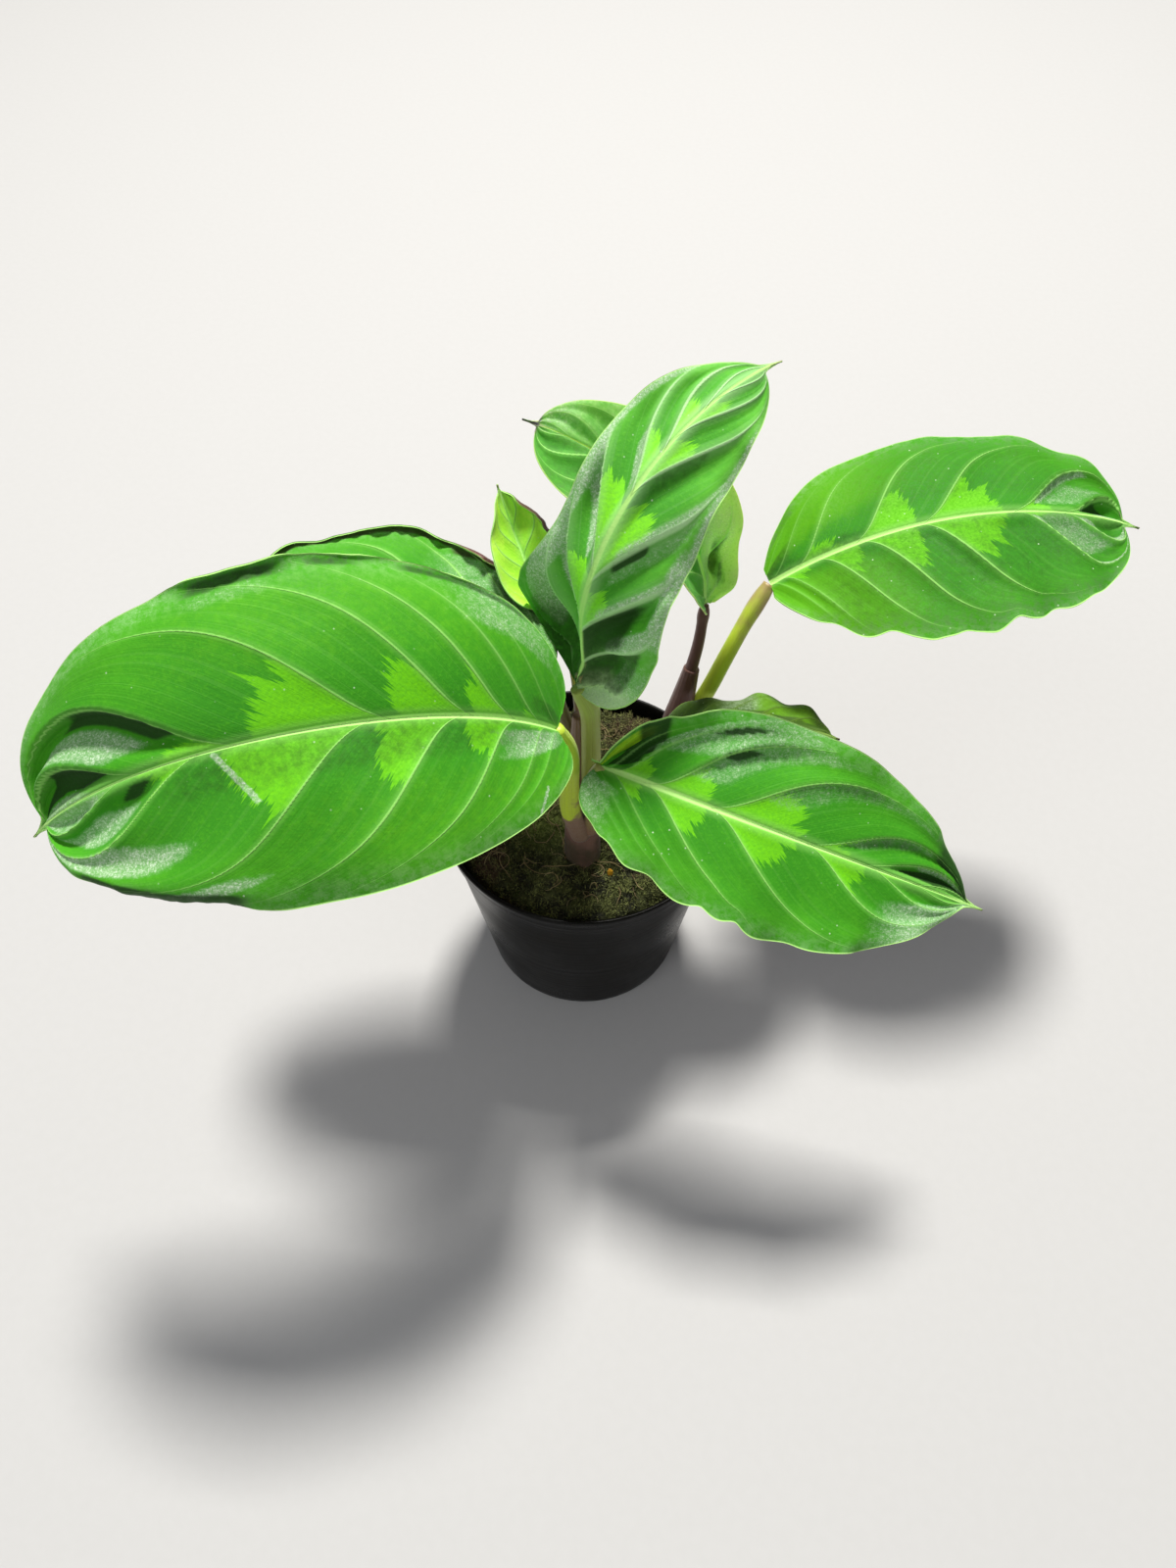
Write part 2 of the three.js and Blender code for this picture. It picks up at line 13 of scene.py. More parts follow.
import bmesh
import bpy
import numpy as np
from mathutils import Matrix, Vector


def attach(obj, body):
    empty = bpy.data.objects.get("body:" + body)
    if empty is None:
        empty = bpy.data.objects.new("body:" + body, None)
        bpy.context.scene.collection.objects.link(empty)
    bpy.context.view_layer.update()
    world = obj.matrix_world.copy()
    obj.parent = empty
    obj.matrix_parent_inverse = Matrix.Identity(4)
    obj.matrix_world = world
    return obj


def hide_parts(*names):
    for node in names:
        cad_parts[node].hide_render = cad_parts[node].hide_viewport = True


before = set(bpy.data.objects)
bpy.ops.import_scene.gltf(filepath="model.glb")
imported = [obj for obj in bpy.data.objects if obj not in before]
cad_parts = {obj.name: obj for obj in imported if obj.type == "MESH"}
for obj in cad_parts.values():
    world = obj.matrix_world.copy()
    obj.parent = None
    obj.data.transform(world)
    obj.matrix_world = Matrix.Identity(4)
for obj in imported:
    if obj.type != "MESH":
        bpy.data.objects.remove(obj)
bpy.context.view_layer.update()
LOG = logging.getLogger("prayer_plant")
METRE = 0.001
Colour = tuple[float, float, float]
Triple = tuple[float, float, float]
Pair = tuple[float, float]
Socket = bpy.types.NodeSocket
Feed = Socket | float | Sequence[float]
Material = bpy.types.Material
Node = bpy.types.Node
NodeTree = bpy.types.NodeTree
Piece = bpy.types.Object
Array = np.ndarray

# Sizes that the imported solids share: the pot, its filling, and the law of the blades
POT_RIM_RADIUS = 52.5
POT_BASE_RADIUS = 38.5
POT_HEIGHT = 88.0
POT_COLLAR_DEPTH = 8.0
POT_COLLAR_STEP = 1.1
POT_WALL = 1.1
POT_FLOOR = 1.4
SOIL_TOP = 79.0
MOSS_TOP = 82.0
SHOOT_MOUNDS = {(0.0, -20.5): 2.6, (31.0, 21.5): 2.2}
MOUND_REACH = 10.0
DRIP_TIP_START = 0.945
DRIP_TIP_WIDTH = 0.16
DRIP_TIP_REACH = 0.12
DRIP_TIP_HOLLOW = 1.7
WAVE_SWEEP = 1.9
LOBE_REACH = 0.3
MARGIN_POWER = 2.1
WAVE_FADE_NEAR_TIP = 6.0
MIDRIB_STEPS = 60
STALK_SETBACK = 0.9
BASAL_VEINS = (-0.6, -0.25, -0.09)
TANGENT_REACH = 0.055
MARGIN_FLAT = (0.62, 0.96)
RIB_REST = (0.0, 0.16)
BASE_REST = (2.0, 11.0)

# Sizes of the looks alone: margins, the patches' soft edges, scars, veins and feather marks, moss
SCALLOP_POWER = 5
BLADE_SOFTNESS = 0.16
CELL_SOFTNESS = 0.24
ACROSS_SOFTNESS = 0.14
SCAR_STRENGTH = 1.6
FINE_VEIN_GAPS = (1.3, 5.2)
FINE_VEIN_DRIFT = 2.4
FEATHER_BARBS = ((0.6, 0.08), (1.7, 0.08), (0.22, 0.13))
FEATHER_LEAN = 3.0
SPECK_SCALE = 420.0
LUSH_SPOT = (-16.0, -9.0)
LUSH_REACH = 20.0


class Half(Enum):
    """The two halves of a blade, seen from base to tip."""

    LEFT = 0
    RIGHT = 1

    @property
    def sign(self) -> int:
        """Plus one on the left, minus one on the right."""
        return 1 if self is LEFT else -1


LEFT, RIGHT = Half


@dataclass(frozen=True)
class VeinLaw:
    """How a side vein leaves the midrib, and how it bends along the margin near its end."""

    lean: float = 0.164
    lean_growth: float = 0.31
    bend: float = 0.105
    bend_growth: float = 0.278
    hook: float = 6.2
    tangent: float = 0.03

    def root(self, part: Array, across: Array) -> Array:
        """Finds where the side vein through a place meets the midrib.

        Args:
            part: How far along the blade the place is.
            across: How far it is from the midrib to the margin.

        Returns:
            The fraction of the midrib's length at the vein's root, below 0 in the basal lobes.
        """
        root = part - self.lean * across
        for _ in range(24):
            grown = np.clip(root, 0.0, 0.4)
            lean = (self.lean + self.lean_growth * grown) * across
            root = part - lean - (self.bend + self.bend_growth * grown) * across ** self.hook
        return root + self.tangent * np.exp(-across / TANGENT_REACH)


class Tone(Enum):
    """The light or shade that a patch paints on the blade's velvet; the values are the attribute's axes."""

    # Painted sheen: the whitish glow of velvet in grazing light; the pale scars are painted in this channel
    # too
    BLOOM = 0
    # Painted shade in hollows, creases, rolled margins and where a blade turns away from the light
    SHADE = 1
    # Painted light that shines through the thin blade, also lifting parts that lie in shade
    GOLD = 2


BLOOM, SHADE, GOLD = Tone


@dataclass(frozen=True)
class Patch:
    """A patch of painted light or shade, of one tone, within a cell, or along the whole blade where the cell
    is None.
    """

    tone: Tone
    half: Half
    cell: int | None
    share: Pair
    across: Pair
    strength: float = 1.0
    soft: float = 1.0


@dataclass(frozen=True)
class Cell:
    """The strip of blade from one side vein to the next one towards the tip.

    Its light mark reaches out by feather. It sags by depth millimetres between its veins, most at
    peak across, and falls steeply beside its own vein where lean is below 1.
    """

    root: float
    feather: float = 0.0
    depth: float = 1.0
    lean: float = 0.7
    peak: float = 0.45


def even_cells(roots: Sequence[float], feathers: Sequence[float], depth: float = 1.4) -> tuple[Cell, ...]:
    """Makes a half's cells from its side veins' roots and marks, with a first cell at the base."""
    return tuple(Cell(root, feather, depth) for root, feather in zip((0.0, *roots), feathers))


def each(kind: type, *rows: Sequence[object]) -> tuple:
    """Makes one kind of feature from rows of its sizes."""
    return tuple(kind(*row) for row in rows)


def patches(tone: Tone, half: Half, *rows: Sequence[float | None]) -> tuple[Patch, ...]:
    """Makes the patches of one tone on one half.

    Args:
        tone: Their tone.
        half: Their half.
        rows: For each its cell, where it starts and ends along and then across, and where they
            aren't 1 its strength and softness.

    Returns:
        The patches.
    """
    return tuple(Patch(tone, half, row[0], row[1:3], row[3:5], *row[5:]) for row in rows)


@dataclass(frozen=True)
class Dimple:
    """A local hollow in a blade, or a swelling where the depth is negative."""

    half: Half
    part: float
    across: float
    reach: Pair
    depth: float


@dataclass(frozen=True)
class Scallop:
    """A bay in a margin where size is negative, or a bulge; size is a share of the half-width."""

    half: Half
    part: float
    reach: float
    size: float


@dataclass(frozen=True)
class Scar:
    """A healed scratch, pale and straight, between two places given as part and across."""

    half: Half
    start: Pair
    end: Pair
    breadth: float = 0.8


@dataclass(frozen=True)
class MarginRoll:
    """A stretch of margin that rolls up, or down where the turn is negative."""

    half: Half
    start: float
    end: float
    turn: float
    inner: float = 0.8
    soft: float = 0.06
    unevenness: float = 0.25


@dataclass(frozen=True)
class LeafShape:
    """Where a leaf grows and how its blade is shaped; pairs give the left half first."""

    base: Triple
    heading: float
    rise: Pair
    swing: float
    length: float
    width: float
    roll: float
    twist: float
    lobe: float
    shoulder: float
    skew: float
    widest: Pair
    tip_fullness: Pair
    base_fullness: Pair
    fold: Pair
    curl: Pair
    cells: tuple[tuple[Cell, ...], tuple[Cell, ...]]
    waves: Triple
    stalk: tuple[Triple, ...]
    stalk_radius: Pair
    vein_laws: tuple[VeinLaw, VeinLaw] = (VeinLaw(), VeinLaw())
    frill: Pair = (0.5, 0.5)
    waver: Pair = (0.0, 0.0)
    vein_breadth: float = 1.0
    scallops: tuple[Scallop, ...] = ()
    corners: Pair = (0.0, 0.0)
    corner_power: float = 0.5
    pinch: Triple | None = None
    patches: tuple[Patch, ...] = ()
    colours: dict[str, Colour] = field(default_factory=dict)
    dimples: tuple[Dimple, ...] = ()
    scars: tuple[Scar, ...] = ()
    rolls: tuple[MarginRoll, ...] = ()
    young: bool = False
    glow: float = 0.0
    seed: int = 1


# Each leaf's patches are painted light and shade at fixed places on its velvet: sheen, shade in hollows,
# light shining through
LEAVES: dict[str, LeafShape] = {
    "front_left": LeafShape(
        base=(-7.6, -36.5, 172.7), heading=214.4, rise=(49.9, -51.6), swing=-40.4, length=169.7, width=92.4,
        roll=-33, twist=-1.9, lobe=0.01, shoulder=0.16, skew=-0.02, widest=(0.5, 0.45),
        tip_fullness=(0.69, 0.44), base_fullness=(0.61, 0.53), fold=(23.3, 24.2), curl=(53, 59.3),
        cells=(
            each(Cell, (0, 0, 0.5), (0.04, 0.12, 0.6), (0.124, 0.36, 0.8), (0.242, 0.44, 1.1),
                (0.393, 0.44, 3, 1.5, 0.6), (0.649, 0.1, 5, 0.9, 0.32), (0.78, 0, 3.5, 0.6, 0.3)),
            each(Cell, (0, 0, 0.5), (0.062, 0.1, 0.5), (0.133, 0.3, 0.7), (0.221, 0.36, 0.9),
                (0.363, 0.38, 1.2, 0.6), (0.594, 0.1, 7, 0.42, 0.45), (0.748, 0, 6.5, 0.4, 0.3)),
        ),
        vein_laws=(VeinLaw(0.117, 0.375, 0.175, 0.313, 6.85), VeinLaw(0.17, 0.327, 0.045, 0.668, 5.93)),
        waves=(1, 4.2, 0.3), frill=(0.4, 0.35),
        stalk=((-0.8, -24, 101), (-4, -28, 121), (-4.1, -30.5, 138), (-4, -33, 156)), stalk_radius=(3.7, 2.6),
        rolls=(MarginRoll(LEFT, 0.6, 0.88, -70, 0.84), MarginRoll(RIGHT, 0.44, 0.6, 125, 0.91),
               MarginRoll(RIGHT, 0.3, 0.4, 110, 0.95), MarginRoll(RIGHT, 0.14, 0.24, 100, 0.95)),
        scars=(Scar(LEFT, (0.598, 0.03), (0.545, 0.34)), Scar(LEFT, (0.07, 0.45), (0.1, 0.7), 0.5)),
        patches=(
            *patches(BLOOM, LEFT, (5, 0.3, 0.75, 0.26, 0.55, 0.8, 0.7), (6, 0.1, 0.6, 0.1, 0.4, 0.75),
                (4, 0.56, 1, 0.6, 0.92, 0.95, 0.9), (3, 0.56, 0.78, 0.82, 0.97, 0.9, 0.6),
                (None, 0.05, 0.1, 0.16, 0.36, 0.8, 0.6)),
            *patches(BLOOM, RIGHT, (5, 0.42, 0.85, 0.2, 0.6, 0.85, 0.6), (6, 0.4, 0.75, 0.03, 0.6, 0.8, 0.5),
                (None, 0.66, 0.9, 0.9, 0.97, 0.32), (None, 0.5, 0.56, 0.82, 0.86, 0.4, 0.5),
                (None, 0.09, 0.14, 0.7, 0.95, 0.6, 0.8)),
            *patches(GOLD, LEFT, (None, 0.1, 0.35, 0.5, 0.9, 0.3, 2)),
            *patches(GOLD, RIGHT, (None, 0.2, 0.5, 0.5, 0.8, 0.3, 2)),
            *patches(SHADE, LEFT, (None, 0.12, 0.62, 0, 0.2, 0.56, 1.4),
                (5, 0.42, 0.6, 0.08, 0.13, 1.3, 0.4), (None, 0.64, 0.83, 0.9, 1, 1.4, 0.4)),
            *patches(SHADE, RIGHT, (None, 0.48, 0.565, 0.91, 0.95, 0.95, 0.35),
                (None, 0.37, 0.4, 0.94, 0.96, 0.85, 0.3), (None, 0.1, 0.26, 0.94, 0.96, 0.85, 0.3),
                (5, 0, 0.22, 0.2, 0.62, 1.2, 0.4), (6, 0, 0.24, 0.12, 0.44, 1.5, 0.35),
                (None, 0.02, 0.04, 0.12, 0.24, 0.6, 0.5)),
        ),
        seed=3,
    ),
    "mid_left": LeafShape(
        base=(-10.6, -2.1, 158.3), heading=163.9, rise=(39.4, -33.4), swing=29.4, length=114.4, width=70.9,
        roll=15.6, twist=-20.7, lobe=0.01, shoulder=0.16, skew=-0.01, widest=(0.39, 0.39),
        tip_fullness=(0.54, 0.54), base_fullness=(0.5, 0.5), fold=(15.8, 13.2), curl=(23.7, 11.2),
        cells=(even_cells((0.1, 0.21, 0.34, 0.5, 0.66, 0.82), (0, 0.1, 0.3, 0.4, 0.4, 0.2, 0)),
               even_cells((0.08, 0.18, 0.31, 0.46, 0.63, 0.79), (0, 0.1, 0.3, 0.4, 0.4, 0.2, 0))),
        waves=(1.6, 4.5, 0.1), frill=(0.8, 1), stalk=((-1, -15.5, 128), (-4, -11.5, 140), (-7.4, -7, 150)),
        stalk_radius=(2.2, 1.8),
        rolls=(MarginRoll(RIGHT, 0.05, 0.85, 150, 0.88, unevenness=0.5),
               MarginRoll(RIGHT, 0.05, 0.32, 70, 0.76, unevenness=0.5)),
        patches=(
            *patches(BLOOM, RIGHT, (None, 0.05, 0.3, 0.5, 0.78, 0.55)),
            *patches(SHADE, RIGHT, (None, 0, 0.95, 0.94, 1, 1.2, 0.3),
                (None, 0, 0.32, 0.85, 1, 1.3, 0.35)),
        ),
        colours={"shade": (0.036, 0.036, 0.01)},
        seed=5,
    ),
    "young_back_left": LeafShape(
        base=(-12.1, 18.4, 166.4), heading=111, rise=(12, 64), swing=14, length=43.5, width=28.5, roll=2,
        twist=5.2, lobe=0.01, shoulder=0.34, skew=-0.06, widest=(0.38, 0.38), tip_fullness=(0.75, 0.85),
        base_fullness=(0.5, 0.5), fold=(26, 32), curl=(4, 12),
        cells=(even_cells((0.15, 0.31, 0.5, 0.7), (0, 0.1, 0.2, 0.16, 0), 0.7),
               even_cells((0.13, 0.28, 0.46, 0.67), (0, 0.1, 0.2, 0.16, 0), 0.7)),
        waves=(0.7, 3, 0.4), stalk=((0, -13, 132), (-1, -5, 144), (-3, 4, 155), (-8, 12, 163)),
        stalk_radius=(1.9, 1.5),
        rolls=(MarginRoll(RIGHT, 0, 0.9, 165, 0.66),),
        patches=(
            *patches(SHADE, RIGHT, (None, 0.2, 0.95, 0.8, 1, 1.1, 0.8)),
        ),
        # The young leaf's own paler yellow-green, made lighter still as painted light, since its blade faces
        # away from the light
        colours={"green": (0.4, 0.92, 0.046), "light": (0.62, 1.00, 0.09), "dark": (0.26, 0.68, 0.034)},
        young=True, seed=7,
    ),
    "tall_centre": LeafShape(
        base=(-1.4, -13.8, 165.1), heading=45.8, rise=(101.5, -6), swing=-8.3, length=127.2, width=62,
        roll=-7.1, twist=33.6, lobe=0.07, shoulder=0.6, skew=0.19, widest=(0.1, 0.31),
        tip_fullness=(0.77, 0.43), base_fullness=(0.4, 1), fold=(-12, -10.8), curl=(0.5, 41.7),
        cells=(
            each(Cell, (0, 0, 6, 2, 0.35), (0.149, 0, 6, 2.4, 0.35), (0.243, 0.5, 6, 2.6, 0.6),
                (0.373, 0.62, 2.6, 2.2, 0.4), (0.563, 0.42, 1.8, 1.6), (0.677, 0.34, 1.2), (0.8, 0, 0.8)),
            each(Cell, (0, 0, 3.5, 2, 0.6), (0.1, 0, 8, 2.6, 0.5), (0.21, 0.3, 4, 2.4, 0.28),
                (0.345, 0.44, 2.6, 1.6, 0.26), (0.575, 0.36, 1, 1.4, 0.4), (0.726, 0.24, 0.5, 1.2),
                (0.85, 0, 0.3)),
        ),
        vein_laws=(VeinLaw(0.05, 0.562, 0.191, -0.416, 4.2), VeinLaw(0.05, 0.725, 0.079, 0.432, 12)),
        waves=(1.2, 4.5, 0.6), frill=(0.4, 0.7), corners=(0.03, 0.09), vein_breadth=2.5,
        pinch=(0.44, 0.4, 0.24),
        rolls=(MarginRoll(RIGHT, -0.05, 0.1, 60, 0.5, 0.04),),
        dimples=(Dimple(RIGHT, 0.08, 0.3, (0.13, 0.3), 6), Dimple(LEFT, 0.08, 0.25, (0.13, 0.3), 7)),
        patches=(
            *patches(BLOOM, LEFT, (2, 0, 1, 0.86, 1.1, 1.3, 0.9), (2, 0.6, 0.8, 0.25, 0.75, 1.2, 0.5),
                (1, 0, 0.8, 0.76, 1, 1.2, 0.9), (1, 0.56, 0.74, 0.2, 0.7, 1.2, 0.5),
                (0, 0.3, 0.9, 0.5, 1, 1.2, 0.7), (3, 0, 1, 0.92, 1.1, 1, 0.7),
                (3, 0.8, 1, 0.14, 0.42, 0.95, 0.5), (None, 0.52, 0.76, 0.94, 1, 0.9, 0.5)),
            *patches(BLOOM, RIGHT, (1, 0, 0.24, 0.35, 1, 1.6, 0.8),
                (None, 0.28, 0.42, 0.84, 1, 1.2, 0.8), (None, -0.1, 0.07, 0.55, 1, 0.75, 0.8),
                (2, 0.66, 0.8, 0.2, 0.8, 0.45), (2, 0, 0.08, 0.2, 0.9, 0.9, 0.5),
                (3, 0, 0.06, 0.2, 0.9, 0.8, 0.4), (None, 0.4, 0.8, 0.94, 1, 1, 0.6)),
            *patches(GOLD, RIGHT, (None, -0.1, 0.02, 0.1, 1, 1.8, 0.4)),
            *patches(SHADE, LEFT, (2, 0.9, 1, 0.2, 0.6, 1.2, 0.4), (1, 0.87, 1, 0.12, 0.5, 1.3, 0.4),
                (0, 0, 0.9, 0, 0.28, 0.8, 1.2), (None, -0.2, 0.08, 0, 0.75, 0.8, 0.9)),
            *patches(SHADE, RIGHT, (1, 0.3, 1, 0, 0.4, 1.15, 2), (0, 0, 1, 0, 0.7, 0.85, 1.2),
                (None, 0.05, 0.12, 0, 0.35, 1, 0.35), (2, 0.88, 1, 0.18, 0.4, 1.35, 0.45),
                (3, 0.8, 0.92, 0.16, 0.42, 0.6, 0.8)),
        ),
        # Its green, light, dark and mark colours are lighter than the other blades': painted light, for an
        # upright blade facing away from the key light
        colours={"green": (0.085, 0.42, 0.028), "light": (0.15, 0.55, 0.042),
             "dark": (0.05, 0.3, 0.02), "mark": (0.28, 0.92, 0.008), "vein": (0.56, 0.88, 0.43),
             "tip": (0.62, 0.56, 0.3), "gold": (0.8, 1.000, 0.55)},
        stalk=((3, -21, 110), (2.7, -20, 132), (2.6, -17, 146), (2, -15, 157)), stalk_radius=(3.3, 2.9),
        seed=9,
    ),
    "back_centre": LeafShape(
        base=(41.9, 39, 148), heading=178.9, rise=(88.6, 0.4), swing=-23.9, length=98.4, width=41.5,
        roll=-27.9, twist=-16.8, lobe=0.01, shoulder=0.12, skew=-0.03, widest=(0.7, 0.49),
        tip_fullness=(0.53, 0.54), base_fullness=(0.61, 0.63), fold=(24.7, 27.1), curl=(0, -6.9),
        cells=(even_cells((0.12, 0.24, 0.38, 0.55, 0.72, 0.86), (0, 0.1, 0.3, 0.4, 0.3, 0, 0), 1.6),
               even_cells((0.1, 0.22, 0.36, 0.52, 0.69, 0.84), (0, 0.1, 0.3, 0.4, 0.3, 0, 0), 1.6)),
        patches=(
            *patches(BLOOM, RIGHT, (None, 0.18, 0.3, 0.3, 0.8, 0.8, 0.8),
                (None, 0.9, 1, 0.1, 1, 0.6, 0.8)),
            *patches(GOLD, RIGHT, (None, -0.1, 0.55, 0, 1, 1.8, 1.6),
                (None, 0.66, 1, 0, 1, 0.5, 0.8)),
            *patches(SHADE, LEFT, (None, 0.6, 1, 0, 1, 0.5, 0.8)),
            *patches(SHADE, RIGHT, (None, 0.135, 0.155, 0.5, 0.66, 1.05, 0.9)),
        ),
        dimples=(Dimple(RIGHT, 0.15, 0.55, (0.06, 0.3), 6), Dimple(RIGHT, 0.03, 0.8, (0.05, 0.3), -3)),
        colours={"green": (0.08, 0.36, 0.032), "light": (0.125, 0.45, 0.052),
             "dark": (0.055, 0.28, 0.02), "vein": (0.36, 0.72, 0.2), "gold": (0.7, 1.000, 0.42),
             "tip": (0.36, 0.22, 0.13)},
        waves=(0.8, 4, 0.2), vein_breadth=1.4, glow=1,
        rolls=(MarginRoll(RIGHT, 0.62, 1.3, -50, 0, 0.2, 0),),
        scallops=each(Scallop, (RIGHT, 0.85, 0.2, -0.08), (RIGHT, 0.17, 0.06, -0.14)),
        stalk=((38, 30.5, 122), (40.5, 34.5, 134)), stalk_radius=(2.3, 1.7), seed=11,
    ),
    "right": LeafShape(
        base=(65.2, 48.9, 148), heading=10.2, rise=(33.4, -22.8), swing=-7, length=135.1, width=83.1,
        roll=6.6, twist=2.5, lobe=0, shoulder=0.1, skew=-0.09, widest=(0.39, 0.48), tip_fullness=(0.36, 0.46),
        base_fullness=(0.75, 0.62), fold=(13.7, 11.9), curl=(33, 28.8),
        cells=(
            each(Cell, (0, 0, 0.6), (0.095, 0.22, 0.8), (0.261, 0.44, 1.1), (0.435, 0.4, 1.5, 0.6),
                (0.667, 0.12, 3.6, 0.55, 0.4), (0.801, 0, 5.5, 0.45, 0.28)),
            each(Cell, (0, 0.12, 0.8), (0.04, 0.2, 1), (0.154, 0.34, 1.4, 1.4),
                (0.276, 0.46, 2.3, 1.8, 0.38), (0.426, 0.44, 2.6, 1.8, 0.35), (0.676, 0.06, 3.4, 0.8, 0.35),
                (0.8, 0, 3.2, 0.7, 0.3)),
        ),
        vein_laws=(VeinLaw(0.17, 0.1, 0.2, 0.25, 8), VeinLaw(0.131, 0.171, 0, 0.923, 9.5)),
        waves=(1.2, 5.5, 0.5), frill=(0.5, 0.7), waver=(0.004, 0.004),
        scallops=each(Scallop, (RIGHT, 0.113, 0.03, -0.06), (RIGHT, 0.17, 0.03, 0.03),
                (RIGHT, 0.24, 0.03, -0.05), (RIGHT, 0.33, 0.04, 0.03), (RIGHT, 0.43, 0.03, -0.03),
                (RIGHT, 0.5, 0.03, 0.035), (RIGHT, 0.56, 0.025, -0.03), (RIGHT, 0.67, 0.03, -0.05),
                (RIGHT, 0.735, 0.035, 0.03)),
        patches=(
            *patches(BLOOM, LEFT, (4, 0, 0.1, 0.16, 0.7, 0.9, 0.5), (4, 0.3, 0.8, 0.2, 0.45, 0.5),
                (5, 0.42, 0.8, 0, 0.4, 0.95, 0.5)),
            *patches(BLOOM, RIGHT, (5, 0, 0.1, 0.08, 0.9, 1.2, 0.4), (5, 0.3, 0.8, 0.1, 0.45, 0.6),
                (6, 0, 0.14, 0.08, 0.6, 1.1, 0.4)),
            *patches(GOLD, LEFT, (None, -0.3, 0.2, 0.5, 1, 1, 2.2)),
            *patches(GOLD, RIGHT, (None, -0.3, 0.14, 0.3, 1, 1.1, 2.2)),
            *patches(SHADE, LEFT, (None, 0.35, 0.9, 0.3, 0.9, 0.38, 1.4),
                (5, 0.06, 0.24, 0.14, 0.32, 1.4, 0.4), (None, -0.1, 0.03, 0, 0.5, 0.75, 0.7),
                (None, 0, 0.2, 0, 0.1, 0.6, 1), (None, 0.06, 0.09, 0.86, 0.96, 0.5, 0.5)),
            *patches(SHADE, RIGHT, (None, 0.2, 0.9, 0, 0.9, 0.5, 1.4), (4, 0.68, 0.86, 0.22, 0.45, 0.55),
                (3, 0.68, 0.88, 0.24, 0.6, 0.55)),
        ),
        # Its green, light, mark and backlight colours are darker than the other blades': painted shade,
        # holding back the light on a blade that faces the key light squarely
        colours={"green": (0.04, 0.262, 0.006), "light": (0.074, 0.385, 0.006),
             "mark": (0.19, 0.68, 0.003), "gold": (0.14, 0.47, 0.001), "tip": (0.06, 0.045, 0.025)},
        stalk=((37, 25.5, 98), (45, 29, 115), (50.5, 33.5, 127), (57.5, 41, 138.5)), stalk_radius=(3.2, 2.6),
        seed=13,
    ),
    "front_right": LeafShape(
        base=(6.2, -31.3, 148.5), heading=330.7, rise=(4.2, -30.9), swing=27.1, length=129.3, width=63.5,
        roll=28.5, twist=3.2, lobe=0.03, shoulder=0.18, skew=0.02, widest=(0.47, 0.56),
        tip_fullness=(0.83, 0.99), base_fullness=(0.68, 0.44), fold=(12, 10.5), curl=(5.3, 28.9),
        cells=(
            each(Cell, (0, 0, 3.5, 0.8, 0.4), (0.047, 0.34, 2.6, 0.45, 0.65),
                (0.149, 0.38, 2.8, 0.4, 0.6), (0.305, 0.4, 1.4, 0.5, 0.5), (0.549, 0.1, 1.8, 0.6, 0.4),
                (0.685, 0, 4, 0.8, 0.35), (0.82, 0, 2, 0.8, 0.4)),
            each(Cell, (-0.03, 0, 0.6), (0.03, 0.28, 0.6), (0.138, 0.38, 0.8), (0.311, 0.36, 1.2),
                (0.547, 0.28, 1.5), (0.71, 0.05, 1.8), (0.82, 0, 1.5)),
        ),
        vein_laws=(VeinLaw(0.108, 0.608, 0.251, 0.611, 5.5), VeinLaw(0.212, 0.182, 0.118, 0.154, 3.9)),
        waves=(1.2, 5.5, 0.15), frill=(0.4, 0.9), waver=(0.004, 0.004), corners=(0.12, 0),
        corner_power=0.62,
        scallops=each(Scallop, (RIGHT, 0.03, 0.025, -0.05), (RIGHT, 0.085, 0.025, -0.055),
                (RIGHT, 0.14, 0.025, 0.04), (RIGHT, 0.2, 0.025, -0.04), (RIGHT, 0.275, 0.04, 0.045),
                (RIGHT, 0.335, 0.018, -0.035), (RIGHT, 0.38, 0.02, 0.02), (RIGHT, 0.42, 0.018, -0.035),
                (RIGHT, 0.47, 0.035, 0.04), (RIGHT, 0.55, 0.03, -0.025)),
        stalk=((2.5, -24, 104), (3.6, -28, 124), (3.4, -31, 140)), stalk_radius=(3, 2.2),
        rolls=(MarginRoll(LEFT, -0.05, 0.2, 80, 0.62), MarginRoll(LEFT, 0.84, 1, -60, 0.7)),
        patches=(
            *patches(BLOOM, LEFT, (1, 0.1, 0.9, 0.55, 1, 0.58, 0.8), (2, 0.1, 0.4, 0.3, 0.8, 0.52),
                (0, 0.5, 1, 0.5, 1, 0.6), (3, 0.02, 0.2, 0.3, 0.8, 0.4), (4, 0, 0.3, 0.2, 0.7, 0.4),
                (5, 0, 0.16, 0.3, 0.9, 0.8, 0.5)),
            *patches(BLOOM, RIGHT, (None, 0.82, 0.95, 0.4, 1, 0.8), (None, -0.1, 0.01, 0.3, 0.9, 0.6, 0.6)),
            *patches(GOLD, LEFT, (None, 0.02, 0.055, 0.7, 0.85, 2, 0.4)),
            *patches(SHADE, LEFT, (None, 0.052, 0.088, 0.42, 0.64, 1.7, 0.2),
                (None, 0.08, 0.105, 0.6, 1, 1.6, 0.2), (None, 0.03, 0.065, 0.28, 0.5, 1.6, 0.2),
                (2, 0.02, 0.14, 0.55, 0.63, 1.3, 0.4), (1, 0.14, 0.34, 0.78, 0.84, 1.3, 0.4),
                (3, 0.02, 0.14, 0.32, 0.7, 0.45), (4, 0.1, 0.35, 0.25, 0.5, 0.5),
                (5, 0.3, 1, 0.12, 0.55, 1.6, 0.5), (None, 0.86, 1, 0.6, 1, 1.25, 0.5)),
        ),
        colours={"gold": (0.48, 0.78, 0.01)},
        seed=15,
    ),
    "low_right": LeafShape(
        base=(29.9, 4.7, 120), heading=7.2, rise=(15.8, -20.2), swing=-16.6, length=60.2, width=42.5,
